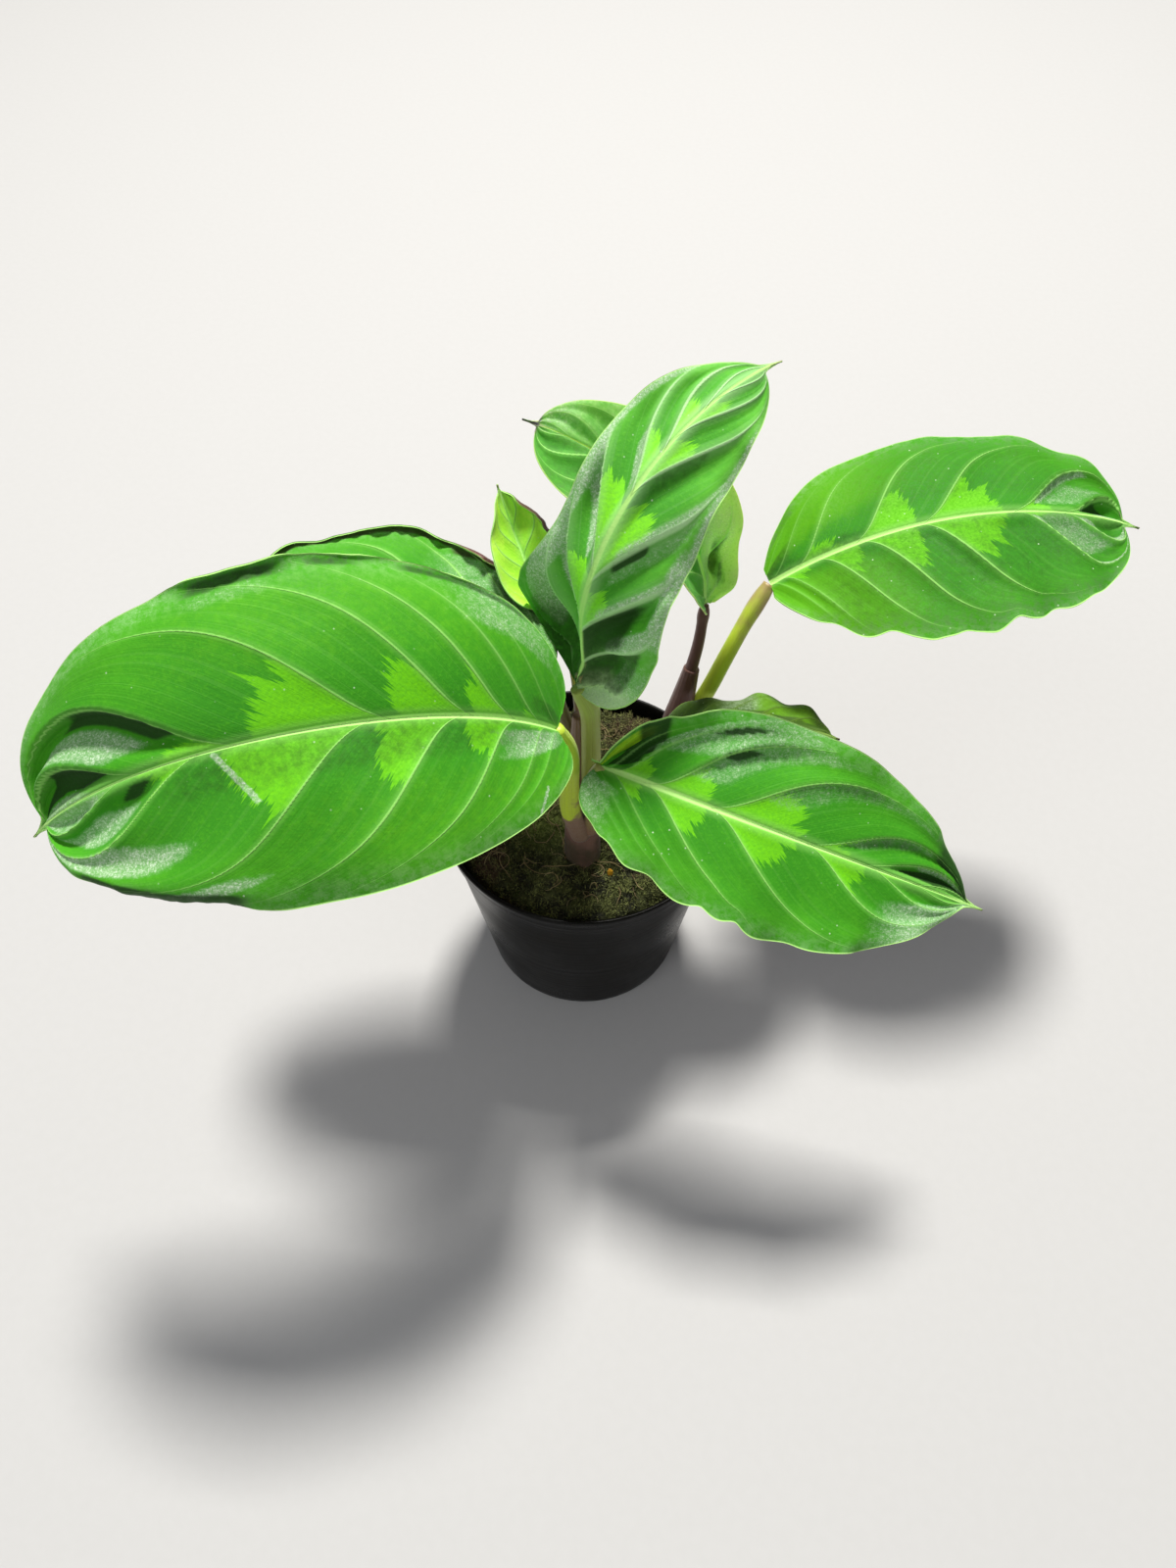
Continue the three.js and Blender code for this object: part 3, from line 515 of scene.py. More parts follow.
        roll=-15.1, twist=3.3, lobe=0.01, shoulder=0.41, skew=-0.01, widest=(0.46, 0.42),
        tip_fullness=(0.58, 0.57), base_fullness=(0.53, 0.61), fold=(4.5, 4.1), curl=(31.9, 13.2),
        cells=(even_cells((0.12, 0.28, 0.46, 0.66, 0.84), (0, 0.3, 0.4, 0.4, 0.1, 0), 1.4),
               even_cells((0.12, 0.28, 0.46, 0.66, 0.84), (0, 0.3, 0.4, 0.4, 0.1, 0), 1.4)),
        patches=(
            *patches(BLOOM, LEFT, (None, 0.36, 0.5, 0.5, 1, 0.45, 0.8)),
            *patches(GOLD, LEFT, (None, 0.56, 0.8, 0.4, 1, 0.8, 0.6)),
            *patches(SHADE, LEFT, (None, 0, 0.2, 0.3, 1, 0.6, 0.8)),
        ),
        # Dark olive with dim veins and marks: painted shade, for this low leaf lies in shade behind
        # front_right
        colours={"green": (0.045, 0.11, 0.008), "light": (0.09, 0.17, 0.012),
             "dark": (0.022, 0.07, 0.007), "vein": (0.1, 0.19, 0.025), "pale": (0.2, 0.34, 0.06),
             "mark": (0.1, 0.24, 0.006)},
        waves=(1.4, 4, 0.7), frill=(1, 0.6), stalk=((31.5, 18, 94), (29.5, 11, 107)), stalk_radius=(2, 1.6),
        seed=17,
    ),
}


# Each stalk's colour at its foot, along its middle and below the blade, and how far along it the first
# starts and ends turning into the second
STALKS: dict[str, tuple[Colour, Colour, Colour, Pair]] = {
    # The yellow-green middles of the front_left and right stalks are partly painted light: lighter than their
    # own colour, for steep sides that catch little light
    "front_left": ((0.24, 0.15, 0.095), (0.54, 0.74, 0.025), (0.62, 0.84, 0.04), (0.26, 0.36)),
    "mid_left": ((0.19, 0.09, 0.065), (0.2, 0.19, 0.05), (0.32, 0.38, 0.06), (0.0, 0.6)),
    "young_back_left": ((0.19, 0.09, 0.065), (0.22, 0.26, 0.03), (0.4, 0.5, 0.05), (0.05, 0.5)),
    "tall_centre": ((0.24, 0.15, 0.08), (0.4, 0.5, 0.08), (0.42, 0.58, 0.1), (0.05, 0.35)),
    "back_centre": ((0.13, 0.055, 0.042), (0.15, 0.065, 0.05), (0.17, 0.08, 0.06), (0.05, 0.5)),
    "right": ((0.34, 0.36, 0.05), (0.56, 0.76, 0.035), (0.44, 0.3, 0.13), (0.0, 0.3)),
    "front_right": ((0.24, 0.13, 0.08), (0.32, 0.3, 0.07), (0.42, 0.46, 0.11), (0.05, 0.5)),
    "low_right": ((0.1, 0.05, 0.035), (0.11, 0.07, 0.03), (0.16, 0.12, 0.04), (0.05, 0.5)),
}


def smoothstep(value: Array, low: float, high: float) -> Array:
    """Eases from 0 at low to 1 at high."""
    share = np.clip((value - low) / (high - low), 0.0, 1.0)
    return share * share * (3.0 - 2.0 * share)


def value_noise(points: Array, size: float, seed: int) -> Array:
    """Smooth seeded noise in space.

    Args:
        points: Places as rows of x, y and z.
        size: The distance between the noise's own lattice points.
        seed: Picks one noise among many.

    Returns:
        A value between -1 and 1 for each place.
    """
    spot = np.asarray(points, float) / size + 1000.0
    cell = np.floor(spot).astype(np.int64)
    part = spot - cell
    part = part * part * (3.0 - 2.0 * part)
    total = np.zeros(spot.shape[:-1])
    for corner in range(8):
        step = np.array([corner & 1, (corner >> 1) & 1, (corner >> 2) & 1])
        at = cell + step
        mixed = at[..., 0] * 73856093 ^ at[..., 1] * 19349663 ^ at[..., 2] * 83492791 ^ seed * 2654435761
        mixed = (mixed ^ (mixed >> 13)) * 1274126177 & 0x7FFFFFFF
        draw = ((mixed ^ (mixed >> 16)) & 0xFFFF) / 32767.5 - 1.0
        total += draw * np.prod(np.where(step == 1, part, 1.0 - part), axis=-1)
    return total


@dataclass
class MeshData:
    """A mesh in the making: places in millimetres, faces, material numbers and corner values."""

    places: list[Array] = field(default_factory=list)
    faces: list[Array] = field(default_factory=list)
    finishes: list[Array] = field(default_factory=list)
    corners: dict[str, list[Array]] = field(default_factory=dict)
    count: int = 0

    def add(self, places: Array, faces: Array, finish: int = 0,
            corners: dict[str, Array] | None = None) -> int:
        """Adds a patch of faces with points of its own.

        Args:
            places: The patch's points, in millimetres.
            faces: Its faces, as rows of point numbers within the patch.
            finish: The material slot of all its faces.
            corners: For each named value, one triple per face corner, or one for all.

        Returns:
            The number of the patch's first point in the whole mesh.
        """
        first = self.count
        self.places.append(np.asarray(places, float).reshape(-1, 3))
        self.count += len(self.places[-1])
        self.add_faces(np.asarray(faces, int) + first, finish, corners)
        return first

    def add_faces(self, faces: Array, finish: int = 0,
                  corners: dict[str, Array | Sequence[float]] | None = None) -> None:
        """Adds faces between points that are there already.

        Args:
            faces: The faces, as rows of point numbers within the whole mesh.
            finish: The material slot of all the faces.
            corners: For each named value, one triple per face corner, or one for all.
        """
        self.faces.append(faces)
        self.finishes.append(np.full(len(faces), finish))
        for name, values in (corners or {}).items():
            triples = np.broadcast_to(np.asarray(values, float).reshape(-1, 3), (faces.size, 3))
            self.corners.setdefault(name, []).append(triples)

    def build(self, name: str, materials: Sequence[Material]) -> Piece:
        """Makes the Blender object.

        Args:
            name: The object's name.
            materials: Its materials, in the order of the slot numbers.

        Returns:
            The smooth-shaded object, linked to the scene.
        """
        mesh = bpy.data.meshes.new(name)
        faces = [row.tolist() for patch in self.faces for row in patch]
        mesh.from_pydata((np.concatenate(self.places) * METRE).tolist(), [], faces)
        mesh.polygons.foreach_set("material_index", np.concatenate(self.finishes).astype(np.int32))
        mesh.polygons.foreach_set("use_smooth", np.ones(len(faces), bool))
        for title, values in self.corners.items():
            attribute = mesh.attributes.new(title, "FLOAT_VECTOR", "CORNER")
            attribute.data.foreach_set("vector", np.concatenate(values).astype(np.float32).ravel())
        for material in materials:
            mesh.materials.append(material)
        mesh.update()
        piece = bpy.data.objects.new(name, mesh)
        bpy.context.scene.collection.objects.link(piece)
        return piece


def squares(block: Array, turned: bool = False) -> Array:
    """Gathers the four corners of each square of a grid.

    Args:
        block: One value or row of values per grid point.
        turned: Whether the corners run the other way round.

    Returns:
        The squares, each with its four corners' values.
    """
    corners = [block[:-1, :-1], block[:-1, 1:], block[1:, 1:], block[1:, :-1]]
    if turned:
        corners = corners[:1] + corners[:0:-1]
    return np.stack(corners, 2).reshape(-1, 4, *block.shape[2:])


def ring_numbers(count: int, sides: int) -> Array:
    """Numbers the points of rings that follow each other, with each ring's first point again at its end."""
    return np.arange(count)[:, None] * sides + np.arange(sides + 1)[None, :] % sides


def settle(piece: Piece, slot: str, *nodes: str) -> Piece:
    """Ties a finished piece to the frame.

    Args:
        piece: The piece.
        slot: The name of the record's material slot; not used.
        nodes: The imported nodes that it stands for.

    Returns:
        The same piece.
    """
    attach(piece, "root")
    if nodes:
        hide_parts(*nodes)
    LOG.info("%s: %d faces", piece.name, len(piece.data.polygons))
    return piece


class Graph:
    """Short calls that build one node tree from left to right."""

    def __init__(self, tree: NodeTree) -> None:
        """Starts on a tree that may already hold nodes."""
        self.tree = tree

    def fill(self, node: Node, feeds: dict[str | int, Feed]) -> None:
        """Feeds a node's inputs: links another node's socket, or sets the input's own plain value.

        Args:
            node: The node.
            feeds: For each input name or number, a socket, a number, or a colour or vector.
        """
        for key, value in feeds.items():
            socket = node.inputs[key]
            if isinstance(value, Socket):
                self.tree.links.new(value, socket)
            elif socket.type == "RGBA" and len(value) == 3:
                socket.default_value = (*value, 1.0)
            else:
                socket.default_value = value

    def node(self, kind: str, feeds: dict[str | int, Feed] | None = None, **settings: object) -> Node:
        """Adds a node.

        Args:
            kind: The node's type.
            feeds: What feeds its inputs, as in fill().
            settings: The node's own properties.

        Returns:
            The node.
        """
        node = self.tree.nodes.new(kind)
        for name, value in settings.items():
            setattr(node, name, value)
        self.fill(node, feeds or {})
        return node

    def math(self, operation: str, *values: Feed, clamp: bool = False) -> Socket:
        """Works out one step of arithmetic, clamped to 0 to 1 where asked."""
        feeds = dict(enumerate(values))
        return self.node("ShaderNodeMath", feeds, operation=operation, use_clamp=clamp).outputs[0]

    def times(self, first: Feed, second: Feed) -> Socket:
        """Multiplies two values."""
        return self.math("MULTIPLY", first, second)

    def minus(self, first: Feed, second: Feed) -> Socket:
        """Takes the second value from the first."""
        return self.math("SUBTRACT", first, second)

    def plus(self, first: Feed, *others: Feed, clamp: bool = False) -> Socket:
        """Adds up values.

        Args:
            first: The first value.
            others: What is added to it, one after another.
            clamp: Whether each sum stays between 0 and 1.

        Returns:
            The sum.
        """
        for value in others:
            first = self.math("ADD", first, value, clamp=clamp)
        return first

    def ease(self, value: Feed, low: Feed, high: Feed, start: Feed = 0.0, end: Feed = 1.0) -> Socket:
        """Eases a value between low and high into one between start and end."""
        feeds = {"Value": value, "From Min": low, "From Max": high, "To Min": start, "To Max": end}
        return self.node("ShaderNodeMapRange", feeds, interpolation_type="SMOOTHSTEP").outputs[0]

    def layers(self, base: Feed, *layers: tuple[Feed, Feed]) -> Socket:
        """Lays colours over a base, one after another.

        Args:
            base: The base colour.
            layers: For each, how much of it shows, from 0 to 1, and its colour.

        Returns:
            The mixed colour.
        """
        for share, colour in layers:
            feeds = {0: share, 6: base, 7: colour}
            base = self.node("ShaderNodeMix", feeds, data_type="RGBA", clamp_factor=True).outputs[2]
        return base

    def noise(self, place: Feed, scale: float, detail: float = 2.0, flat: bool = False,
              roughness: float = 0.5) -> Socket:
        """Reads smooth noise around one half, along a single number where flat is set."""
        feeds = {"W" if flat else "Vector": place, "Scale": scale, "Detail": detail, "Roughness": roughness}
        return self.node("ShaderNodeTexNoise", feeds, noise_dimensions="1D" if flat else "3D").outputs[0]

    def parts(self, vector: Feed) -> list[Socket]:
        """Splits a vector into its three numbers."""
        return list(self.node("ShaderNodeSeparateXYZ", {0: vector}).outputs)

    def corner_value(self, name: str) -> list[Socket]:
        """Reads the three numbers that a mesh keeps at its corners under a name."""
        return self.parts(self.node("ShaderNodeAttribute", attribute_name=name).outputs["Vector"])

    def object_place(self) -> Socket:
        """Reads the place on the object, in metres."""
        return self.node("ShaderNodeTexCoord").outputs["Object"]

    def bump(self, height: Feed, distance: float, strength: float = 1.0) -> Socket:
        """Turns a height from 0 to 1 into a normal, with distance for a height of 1 in metres."""
        feeds = {"Height": height, "Distance": distance, "Strength": strength}
        return self.node("ShaderNodeBump", feeds).outputs[0]


@dataclass(frozen=True)
class Effect:
    """A shader node group with named inputs and outputs, built once and shared."""

    name: str
    inputs: tuple[str, ...]
    outputs: tuple[str, ...]
    make: Callable[[Graph, Sequence[Socket]], tuple[Socket, ...]]

    def group(self) -> NodeTree:
        """Fetches the group, and builds it the first time.

        Returns:
            The node group.
        """
        if self.name in bpy.data.node_groups:
            return bpy.data.node_groups[self.name]
        tree = bpy.data.node_groups.new(self.name, "ShaderNodeTree")
        for side, titles in (("INPUT", self.inputs), ("OUTPUT", self.outputs)):
            for title in titles:
                tree.interface.new_socket(title, in_out=side, socket_type="NodeSocketFloat")
        graph = Graph(tree)
        entry = list(graph.node("NodeGroupInput").outputs)[:len(self.inputs)]
        graph.fill(graph.node("NodeGroupOutput"), dict(enumerate(self.make(graph, entry))))
        return tree

    def place(self, graph: Graph, *values: Feed) -> dict[str, Socket]:
        """Places the effect in a material, fed in order, and gives its outputs by name."""
        node = graph.node("ShaderNodeGroup", dict(zip(self.inputs, values)), node_tree=self.group())
        return {socket.name: socket for socket in node.outputs}


def make_veins(graph: Graph, entry: Sequence[Socket]) -> tuple[Socket, ...]:
    """Draws lines at the side veins, the midrib and the margin, and finer ones between.

    Args:
        graph: The group's graph.
        entry: Its input sockets; lengths are in millimetres.

    Returns:
        The strength of each kind of line, and of the paler halo beside them.
    """
    vein, across, phase, cell, width, length = entry
    inward, share = graph.math("ABSOLUTE", across), graph.math("FRACT", phase)
    away = graph.times(graph.math("MINIMUM", share, graph.minus(1.0, share)), cell)
    fading = graph.times(graph.ease(inward, 0.7, 0.97, 1.0, 0.15), graph.ease(vein, -0.06, 0.16, 0.15, 1.0))
    sideways = graph.times(inward, width)
    rib = graph.math("DIVIDE", sideways, graph.ease(vein, 0.0, 1.0, 1.25, 0.35))
    rim = graph.times(graph.minus(1.0, inward), width)
    count = graph.times(vein, length)
    count = graph.plus(count, graph.times(graph.noise(count, 0.5, 1.0, flat=True), FINE_VEIN_DRIFT))
    fine, minor = (graph.math("SINE", graph.times(count, 2 * math.pi / gap)) for gap in FINE_VEIN_GAPS)
    halo = graph.times(graph.ease(away, 0.2, 2.4, 0.38, 0.0), fading)
    return (
        graph.times(graph.ease(away, 0.12, 0.5, 1.0, 0.0), fading),
        graph.ease(rib, 0.55, 1.1, 1.0, 0.0),
        graph.ease(rim, 0.15, 0.55, 1.0, 0.0),
        graph.ease(fine, -1.0, 1.0),
        graph.times(graph.ease(minor, 0.93, 1.0), fading),
        graph.math("MAXIMUM", halo, graph.ease(sideways, 0.7, 3.6, 0.75, 0.0)),
    )


def make_feathers(graph: Graph, entry: Sequence[Socket]) -> tuple[Socket, ...]:
    """Draws the light feather marks, with a ragged outer edge that follows the fine veins.

    Args:
        graph: The group's graph.
        entry: Its input sockets.

    Returns:
        The marks, and the darker zone outside them.
    """
    vein, across, phase, reach, length = entry
    inward, share = graph.math("ABSOLUTE", across), graph.math("FRACT", phase)
    limit = graph.times(reach, graph.ease(share, 0.04, 0.96, 0.94, 0.0))
    along = graph.plus(graph.times(vein, length), graph.times(across, FEATHER_LEAN))
    barbs = [graph.times(graph.minus(graph.noise(along, scale, 0.0, flat=True), 0.5), swing)
             for scale, swing in FEATHER_BARBS]
    edge = graph.plus(limit, graph.times(graph.plus(*barbs), graph.ease(limit, 0.0, 0.15)))
    inside = graph.minus(edge, inward)
    shade = graph.times(graph.ease(inside, -0.5, -0.02), graph.ease(share, 0.0, 0.3, 0.2, 1.0))
    return graph.ease(inside, -0.006, 0.012), graph.times(shade, graph.ease(reach, 0.0, 0.3))


def make_mottle(graph: Graph, entry: Sequence[Socket]) -> tuple[Socket, ...]:
    """Draws unevenness over any surface, and rare small specks.

    Args:
        graph: The group's graph.
        entry: Its input sockets.

    Returns:
        The slow and the fine unevenness, and the specks.
    """
    slow, fine, rarity = entry
    place = graph.object_place()
    cells = graph.node("ShaderNodeTexVoronoi", {"Vector": place, "Scale": SPECK_SCALE})
    near = graph.ease(cells.outputs["Distance"], 0.06, 0.15, 1.0, 0.0)
    draws = graph.parts(cells.outputs["Color"])
    chosen = graph.times(graph.math("GREATER_THAN", draws[0], rarity), draws[1])
    return graph.noise(place, slow, 3.0), graph.noise(place, fine, 2.0), graph.times(near, chosen)


VEINS = Effect("LeafVeins", ("Vein", "Across", "Phase", "Cell", "Half width", "Length"),
               ("Side veins", "Midrib", "Margin", "Fine veins", "Minor veins", "Halo"), make_veins)
FEATHERS = Effect("FeatherMarks", ("Vein", "Across", "Phase", "Reach", "Length"), ("Marks", "Dark zone"),
                  make_feathers)
MOTTLE = Effect("Mottle", ("Slow scale", "Fine scale", "Rarity"), ("Slow", "Fine", "Specks"), make_mottle)


def new_material(name: str) -> tuple[Material, Graph, Node]:
    """Starts a node material.

    Args:
        name: The material's name.

    Returns:
        The material, its graph and its Principled shader.
    """
    material = bpy.data.materials.new(name)
    material.use_nodes = True
    return material, Graph(material.node_tree), material.node_tree.nodes["Principled BSDF"]


class Finish:
    """What every finish does: it paints one material over a slight unevenness."""

    name: str
    mottle: Triple

    def build(self) -> Material:
        """Makes the material.

        Returns:
            The material.
        """
        material, graph, shader = new_material(self.name)
        graph.fill(shader, self.paint(graph, MOTTLE.place(graph, *self.mottle)))
        return material

    def paint(self, graph: Graph, mottle: dict[str, Socket]) -> dict[str, Feed]:
        """Works out what feeds the shader; each finish has its own way.

        Args:
            graph: The material's graph.
            mottle: The outputs of the Mottle effect.

        Returns:
            The Principled shader's inputs by name.
        """
        raise NotImplementedError


@dataclass(frozen=True)
class BladeFinish(Finish):
    """The velvety upper side of a blade."""

    name: str
    length: float
    green: Colour = (0.052, 0.325, 0.01)
    light: Colour = (0.095, 0.445, 0.014)
    dark: Colour = (0.03, 0.25, 0.01)
    mark: Colour = (0.2, 0.72, 0.003)
    vein: Colour = (0.33, 0.72, 0.16)
    pale: Colour = (0.54, 0.94, 0.26)
    # Painted sheen of the velvet, also the colour of the pale scars
    bloom: Colour = (0.42, 0.6, 0.36)
    # Painted glints, laid over the painted sheen
    glint: Colour = (0.83, 0.96, 0.77)
    # Painted shade for hollows, creases and blades turned away from the light
    shade: Colour = (0.012, 0.046, 0.006)
    tip: Colour = (0.17, 0.1, 0.035)
    # Painted light shining through the thin blade; some leaves use it to lift parts in shade
    gold: Colour = (0.19, 0.52, 0.006)
    speck: Colour = (0.7, 0.85, 0.6)
    mottle: Triple = (38.0, 1200.0, 0.82)
    grain: float = 420.0
    streaks: float = 0.55
    # Scale of the noise that scatters the painted glints
    sparkle: float = 2100.0
    roughness: Pair = (0.58, 0.72)
    relief: float = 0.00022
    sheen: float = 0.08
    glow: float = 0.0

    def paint(self, graph: Graph, mottle: dict[str, Socket]) -> dict[str, Feed]:
        """Paints velvet with its veins, feather marks and pale scars, with painted sheen and glints, painted
        shade in hollows and painted light shining through.
        """
        vein, across, phase = graph.corner_value("blade_at")
        cell, reach, width = graph.corner_value("blade_cell")
        bloom, shade, gold = graph.corner_value("blade_tone")
        lines = VEINS.place(graph, vein, across, phase, cell, width, self.length)
        marks = FEATHERS.place(graph, vein, across, phase, reach, self.length)
        fine, inward = mottle["Fine"], graph.math("ABSOLUTE", across)
        grain = graph.noise(graph.object_place(), self.grain, 4.0, roughness=0.7)
        sparkle = graph.noise(graph.object_place(), self.sparkle, 2.0, roughness=0.7)
        streak = graph.noise(graph.times(vein, self.length), self.streaks, 2.0, flat=True)
        lighter = graph.plus(graph.times(graph.ease(inward, 0.35, 1.0), 0.6),
                             graph.ease(streak, 0.35, 0.75, -0.05, 0.12),
                             graph.ease(grain, 0.42, 0.72, -0.06, 0.3), clamp=True)
        # Painted light shining through the blade, from its patches
        painted_backlight_share = self.ragged(graph, gold, grain, 0.0, 1.3)
        # Painted sheen from the sheen patches, with the pale scars
        painted_sheen_and_scar_share = graph.times(self.ragged(graph, bloom, grain, 0.1, 1.15),
                            graph.ease(fine, 0.35, 0.7, 0.45, 1.0))
        # Painted sheen along the margins
        painted_margin_sheen = graph.times(graph.ease(inward, 0.76, 1.0, 0.0, 0.24), graph.ease(grain, 0.35, 0.65))
        # Painted shade from the shade patches
        painted_shade = self.ragged(graph, shade, grain, 0.12, 1.15)
        colour = graph.layers(
            self.green,
            (lighter, self.light),
            (graph.ease(mottle["Slow"], 0.4, 0.65, 0.0, 0.35), self.dark),
            (graph.times(marks["Dark zone"], 0.5), self.dark),
            (graph.times(lines["Fine veins"], 0.04), self.light),
            (graph.times(lines["Minor veins"], 0.06), self.vein),
            # Painted light shining through the blade
            (graph.times(painted_backlight_share, 0.6), self.gold),
            (graph.ease(fine, 0.48, 0.78, 0.0, 0.4), self.light),
            (marks["Marks"], graph.layers(self.mark, (fine, self.light))),
            (graph.times(lines["Halo"], 0.5), self.vein),
            # Painted sheen and the scars, then painted glints over them
            (graph.math("MAXIMUM", graph.times(painted_sheen_and_scar_share, 0.9), painted_margin_sheen), self.bloom),
            (graph.times(painted_sheen_and_scar_share, graph.ease(sparkle, 0.47, 0.66, 0.0, 0.8)), self.glint),
            # Painted shade
            (graph.times(painted_shade, 0.9), self.shade),
            (graph.times(lines["Side veins"], 0.75), self.vein),
            (lines["Midrib"], self.pale),
            (graph.times(lines["Margin"], 0.85), self.pale),
            (graph.times(mottle["Specks"], 0.75), self.speck),
            (graph.ease(vein, 0.968, 0.988, 0.0, 0.9), self.tip),
        )
        relief = graph.plus(graph.times(lines["Fine veins"], 0.08), graph.times(fine, 0.5),
                            graph.times(lines["Side veins"], 0.9))
        return {
            "Base Color": colour,
            "Roughness": graph.ease(fine, 0.3, 0.7, *self.roughness),
            "Normal": graph.bump(relief, self.relief, 0.8),
            "Sheen Weight": self.sheen,
            "Sheen Roughness": 0.42,
            "Sheen Tint": (0.93, 1.0, 0.86),
            "Subsurface Weight": self.glow,
            "Subsurface Radius": (0.7, 1.0, 0.4),
            "Subsurface Scale": 0.003,
            "Specular IOR Level": 0.16,
        }

    @staticmethod
    def ragged(graph: Graph, mask: Feed, grain: Feed, low: float, high: float) -> Socket:
        """Breaks up a soft patch's edge with a grain; it starts at low and shows fully at high."""
        swing = graph.times(graph.times(graph.minus(grain, 0.5), 0.9), graph.ease(mask, 0.0, 0.2))
        return graph.ease(graph.plus(mask, swing), low, high)


@dataclass(frozen=True)
class UndersideFinish(Finish):
    """The dull, reddish underside of a blade."""

    name: str
    length: float
    ground: Colour = (0.105, 0.07, 0.03)
    blush: Colour = (0.15, 0.05, 0.045)
    rib: Colour = (0.26, 0.26, 0.09)
    mottle: Triple = (45.0, 700.0, 0.99)
    roughness: Pair = (0.45, 0.6)
    relief: float = 0.0002

    def paint(self, graph: Graph, mottle: dict[str, Socket]) -> dict[str, Feed]:
        """Paints the underside with its veins."""
        vein, across, phase = graph.corner_value("blade_at")
        cell, _, width = graph.corner_value("blade_cell")
        lines = VEINS.place(graph, vein, across, phase, cell, width, self.length)
        relief = graph.plus(lines["Fine veins"], graph.times(lines["Side veins"], 1.5))
        return {
            "Base Color": graph.layers(
                self.ground,
                (graph.ease(mottle["Slow"], 0.35, 0.65), self.blush),
                (graph.times(lines["Side veins"], 0.6), self.rib),
                (lines["Midrib"], self.rib),
                (lines["Margin"], self.rib),
            ),
            "Roughness": graph.ease(mottle["Fine"], 0.3, 0.7, *self.roughness),
            "Normal": graph.bump(relief, self.relief, 0.7),
            "Sheen Weight": 0.2,
            "Sheen Roughness": 0.4,
        }


@dataclass(frozen=True)
class StemFinish(Finish):
    """A stalk, sheath or strand, whose colour runs from its foot to its head."""

    name: str
    foot: Colour
    middle: Colour
    head: Colour
    turning: Pair = (0.05, 0.5)
    streak: float = 0.2
    roughness: Pair = (0.34, 0.5)
    speck: Colour = (0.5, 0.5, 0.3)
    mottle: Triple = (90.0, 800.0, 0.97)
    relief: float = 0.00025

    def paint(self, graph: Graph, mottle: dict[str, Socket]) -> dict[str, Feed]:
        """Paints the run of colour, with streaks along it."""
        along, around, _ = graph.corner_value("stem_at")
        wander = graph.plus(along, graph.ease(mottle["Slow"], 0.3, 0.7, -0.12, 0.12))
        streaks = graph.noise(graph.times(around, 9.0), 3.0, 3.0, flat=True)
        relief = graph.plus(streaks, graph.times(mottle["Fine"], 0.4))
        return {
            "Base Color": graph.layers(
                self.foot,
                (graph.ease(wander, *self.turning), self.middle),
                (graph.ease(wander, 0.62, 0.98), self.head),
                (graph.ease(streaks, 0.45, 0.75, 0.0, self.streak), self.foot),
                (graph.times(mottle["Specks"], 0.35), self.speck),
            ),
            "Roughness": graph.ease(mottle["Fine"], 0.3, 0.7, *self.roughness),
            "Normal": graph.bump(relief, self.relief, 0.6),
            "Sheen Weight": 0.12,
        }


@dataclass(frozen=True)
class LitterFinish(Finish):
    """Moss or soil: two or three colours in clumps, with crumbly relief."""

    name: str
    low: Colour
    high: Colour
    dry: Colour
    tip: Colour = (0.1, 0.08, 0.05)
    lush: Colour = (0.05, 0.04, 0.03)
    mottle: Triple = (160.0, 1400.0, 0.96)
    dry_share: Pair = (0.54, 0.68)
    roughness: Pair = (0.8, 0.98)
    relief: float = 0.0009

    def paint(self, graph: Graph, mottle: dict[str, Socket]) -> dict[str, Feed]:
        """Paints the clumps, and the tufts' tips lighter: their own paler colour with a painted highlight."""
        broad = graph.noise(graph.object_place(), 45.0, 3.0)
        tone, height, green = graph.corner_value("litter_at")
        return {
            "Base Color": graph.layers(
                self.low,
                (graph.ease(mottle["Slow"], 0.36, 0.66), self.high),
                (graph.ease(broad, *self.dry_share), self.dry),
                (graph.ease(mottle["Fine"], 0.5, 0.75, 0.0, 0.5), self.low),
                (graph.times(green, 0.75), self.lush),
                # Tufts lighter towards their tips: the moss's own paler tips, with a painted highlight on
                # them
                (graph.times(height, graph.ease(tone, 0.35, 1.0)), self.tip),
            ),
            "Roughness": graph.ease(mottle["Fine"], 0.3, 0.7, *self.roughness),
            "Normal": graph.bump(graph.plus(mottle["Slow"], mottle["Fine"]), self.relief, 0.9),
        }


@dataclass(frozen=True)
class PotFinish(Finish):
    """Thin glossy charcoal plastic with faint flow marks, scuffs and dust."""

    name: str = "glossy_charcoal_plastic"
    body: Colour = (0.006, 0.0057, 0.0045)
    worn: Colour = (0.014, 0.0125, 0.01)
    speck: Colour = (0.2, 0.18, 0.15)
    mottle: Triple = (30.0, 1600.0, 0.975)
    roughness: Pair = (0.24, 0.4)
    relief: float = 0.0003

    def paint(self, graph: Graph, mottle: dict[str, Socket]) -> dict[str, Feed]:
        """Paints the plastic, with a flow that rings the pot."""
        slow, height = mottle["Slow"], graph.parts(graph.object_place())[2]
        flow = graph.noise(graph.times(height, 1 / METRE), 0.4, 2.0, flat=True)
        relief = graph.plus(graph.times(flow, 0.7), graph.times(slow, 0.6))
        return {
            "Base Color": graph.layers(
                self.body,
                (graph.times(graph.ease(slow, 0.52, 0.75), 0.5), self.worn),
                (graph.times(mottle["Specks"], 0.35), self.speck),
            ),
            "Roughness": graph.plus(graph.ease(slow, 0.35, 0.7, *self.roughness),
                                    graph.times(mottle["Fine"], 0.06)),
            "Normal": graph.bump(relief, self.relief, 0.35),
            "Specular IOR Level": 0.1,
        }


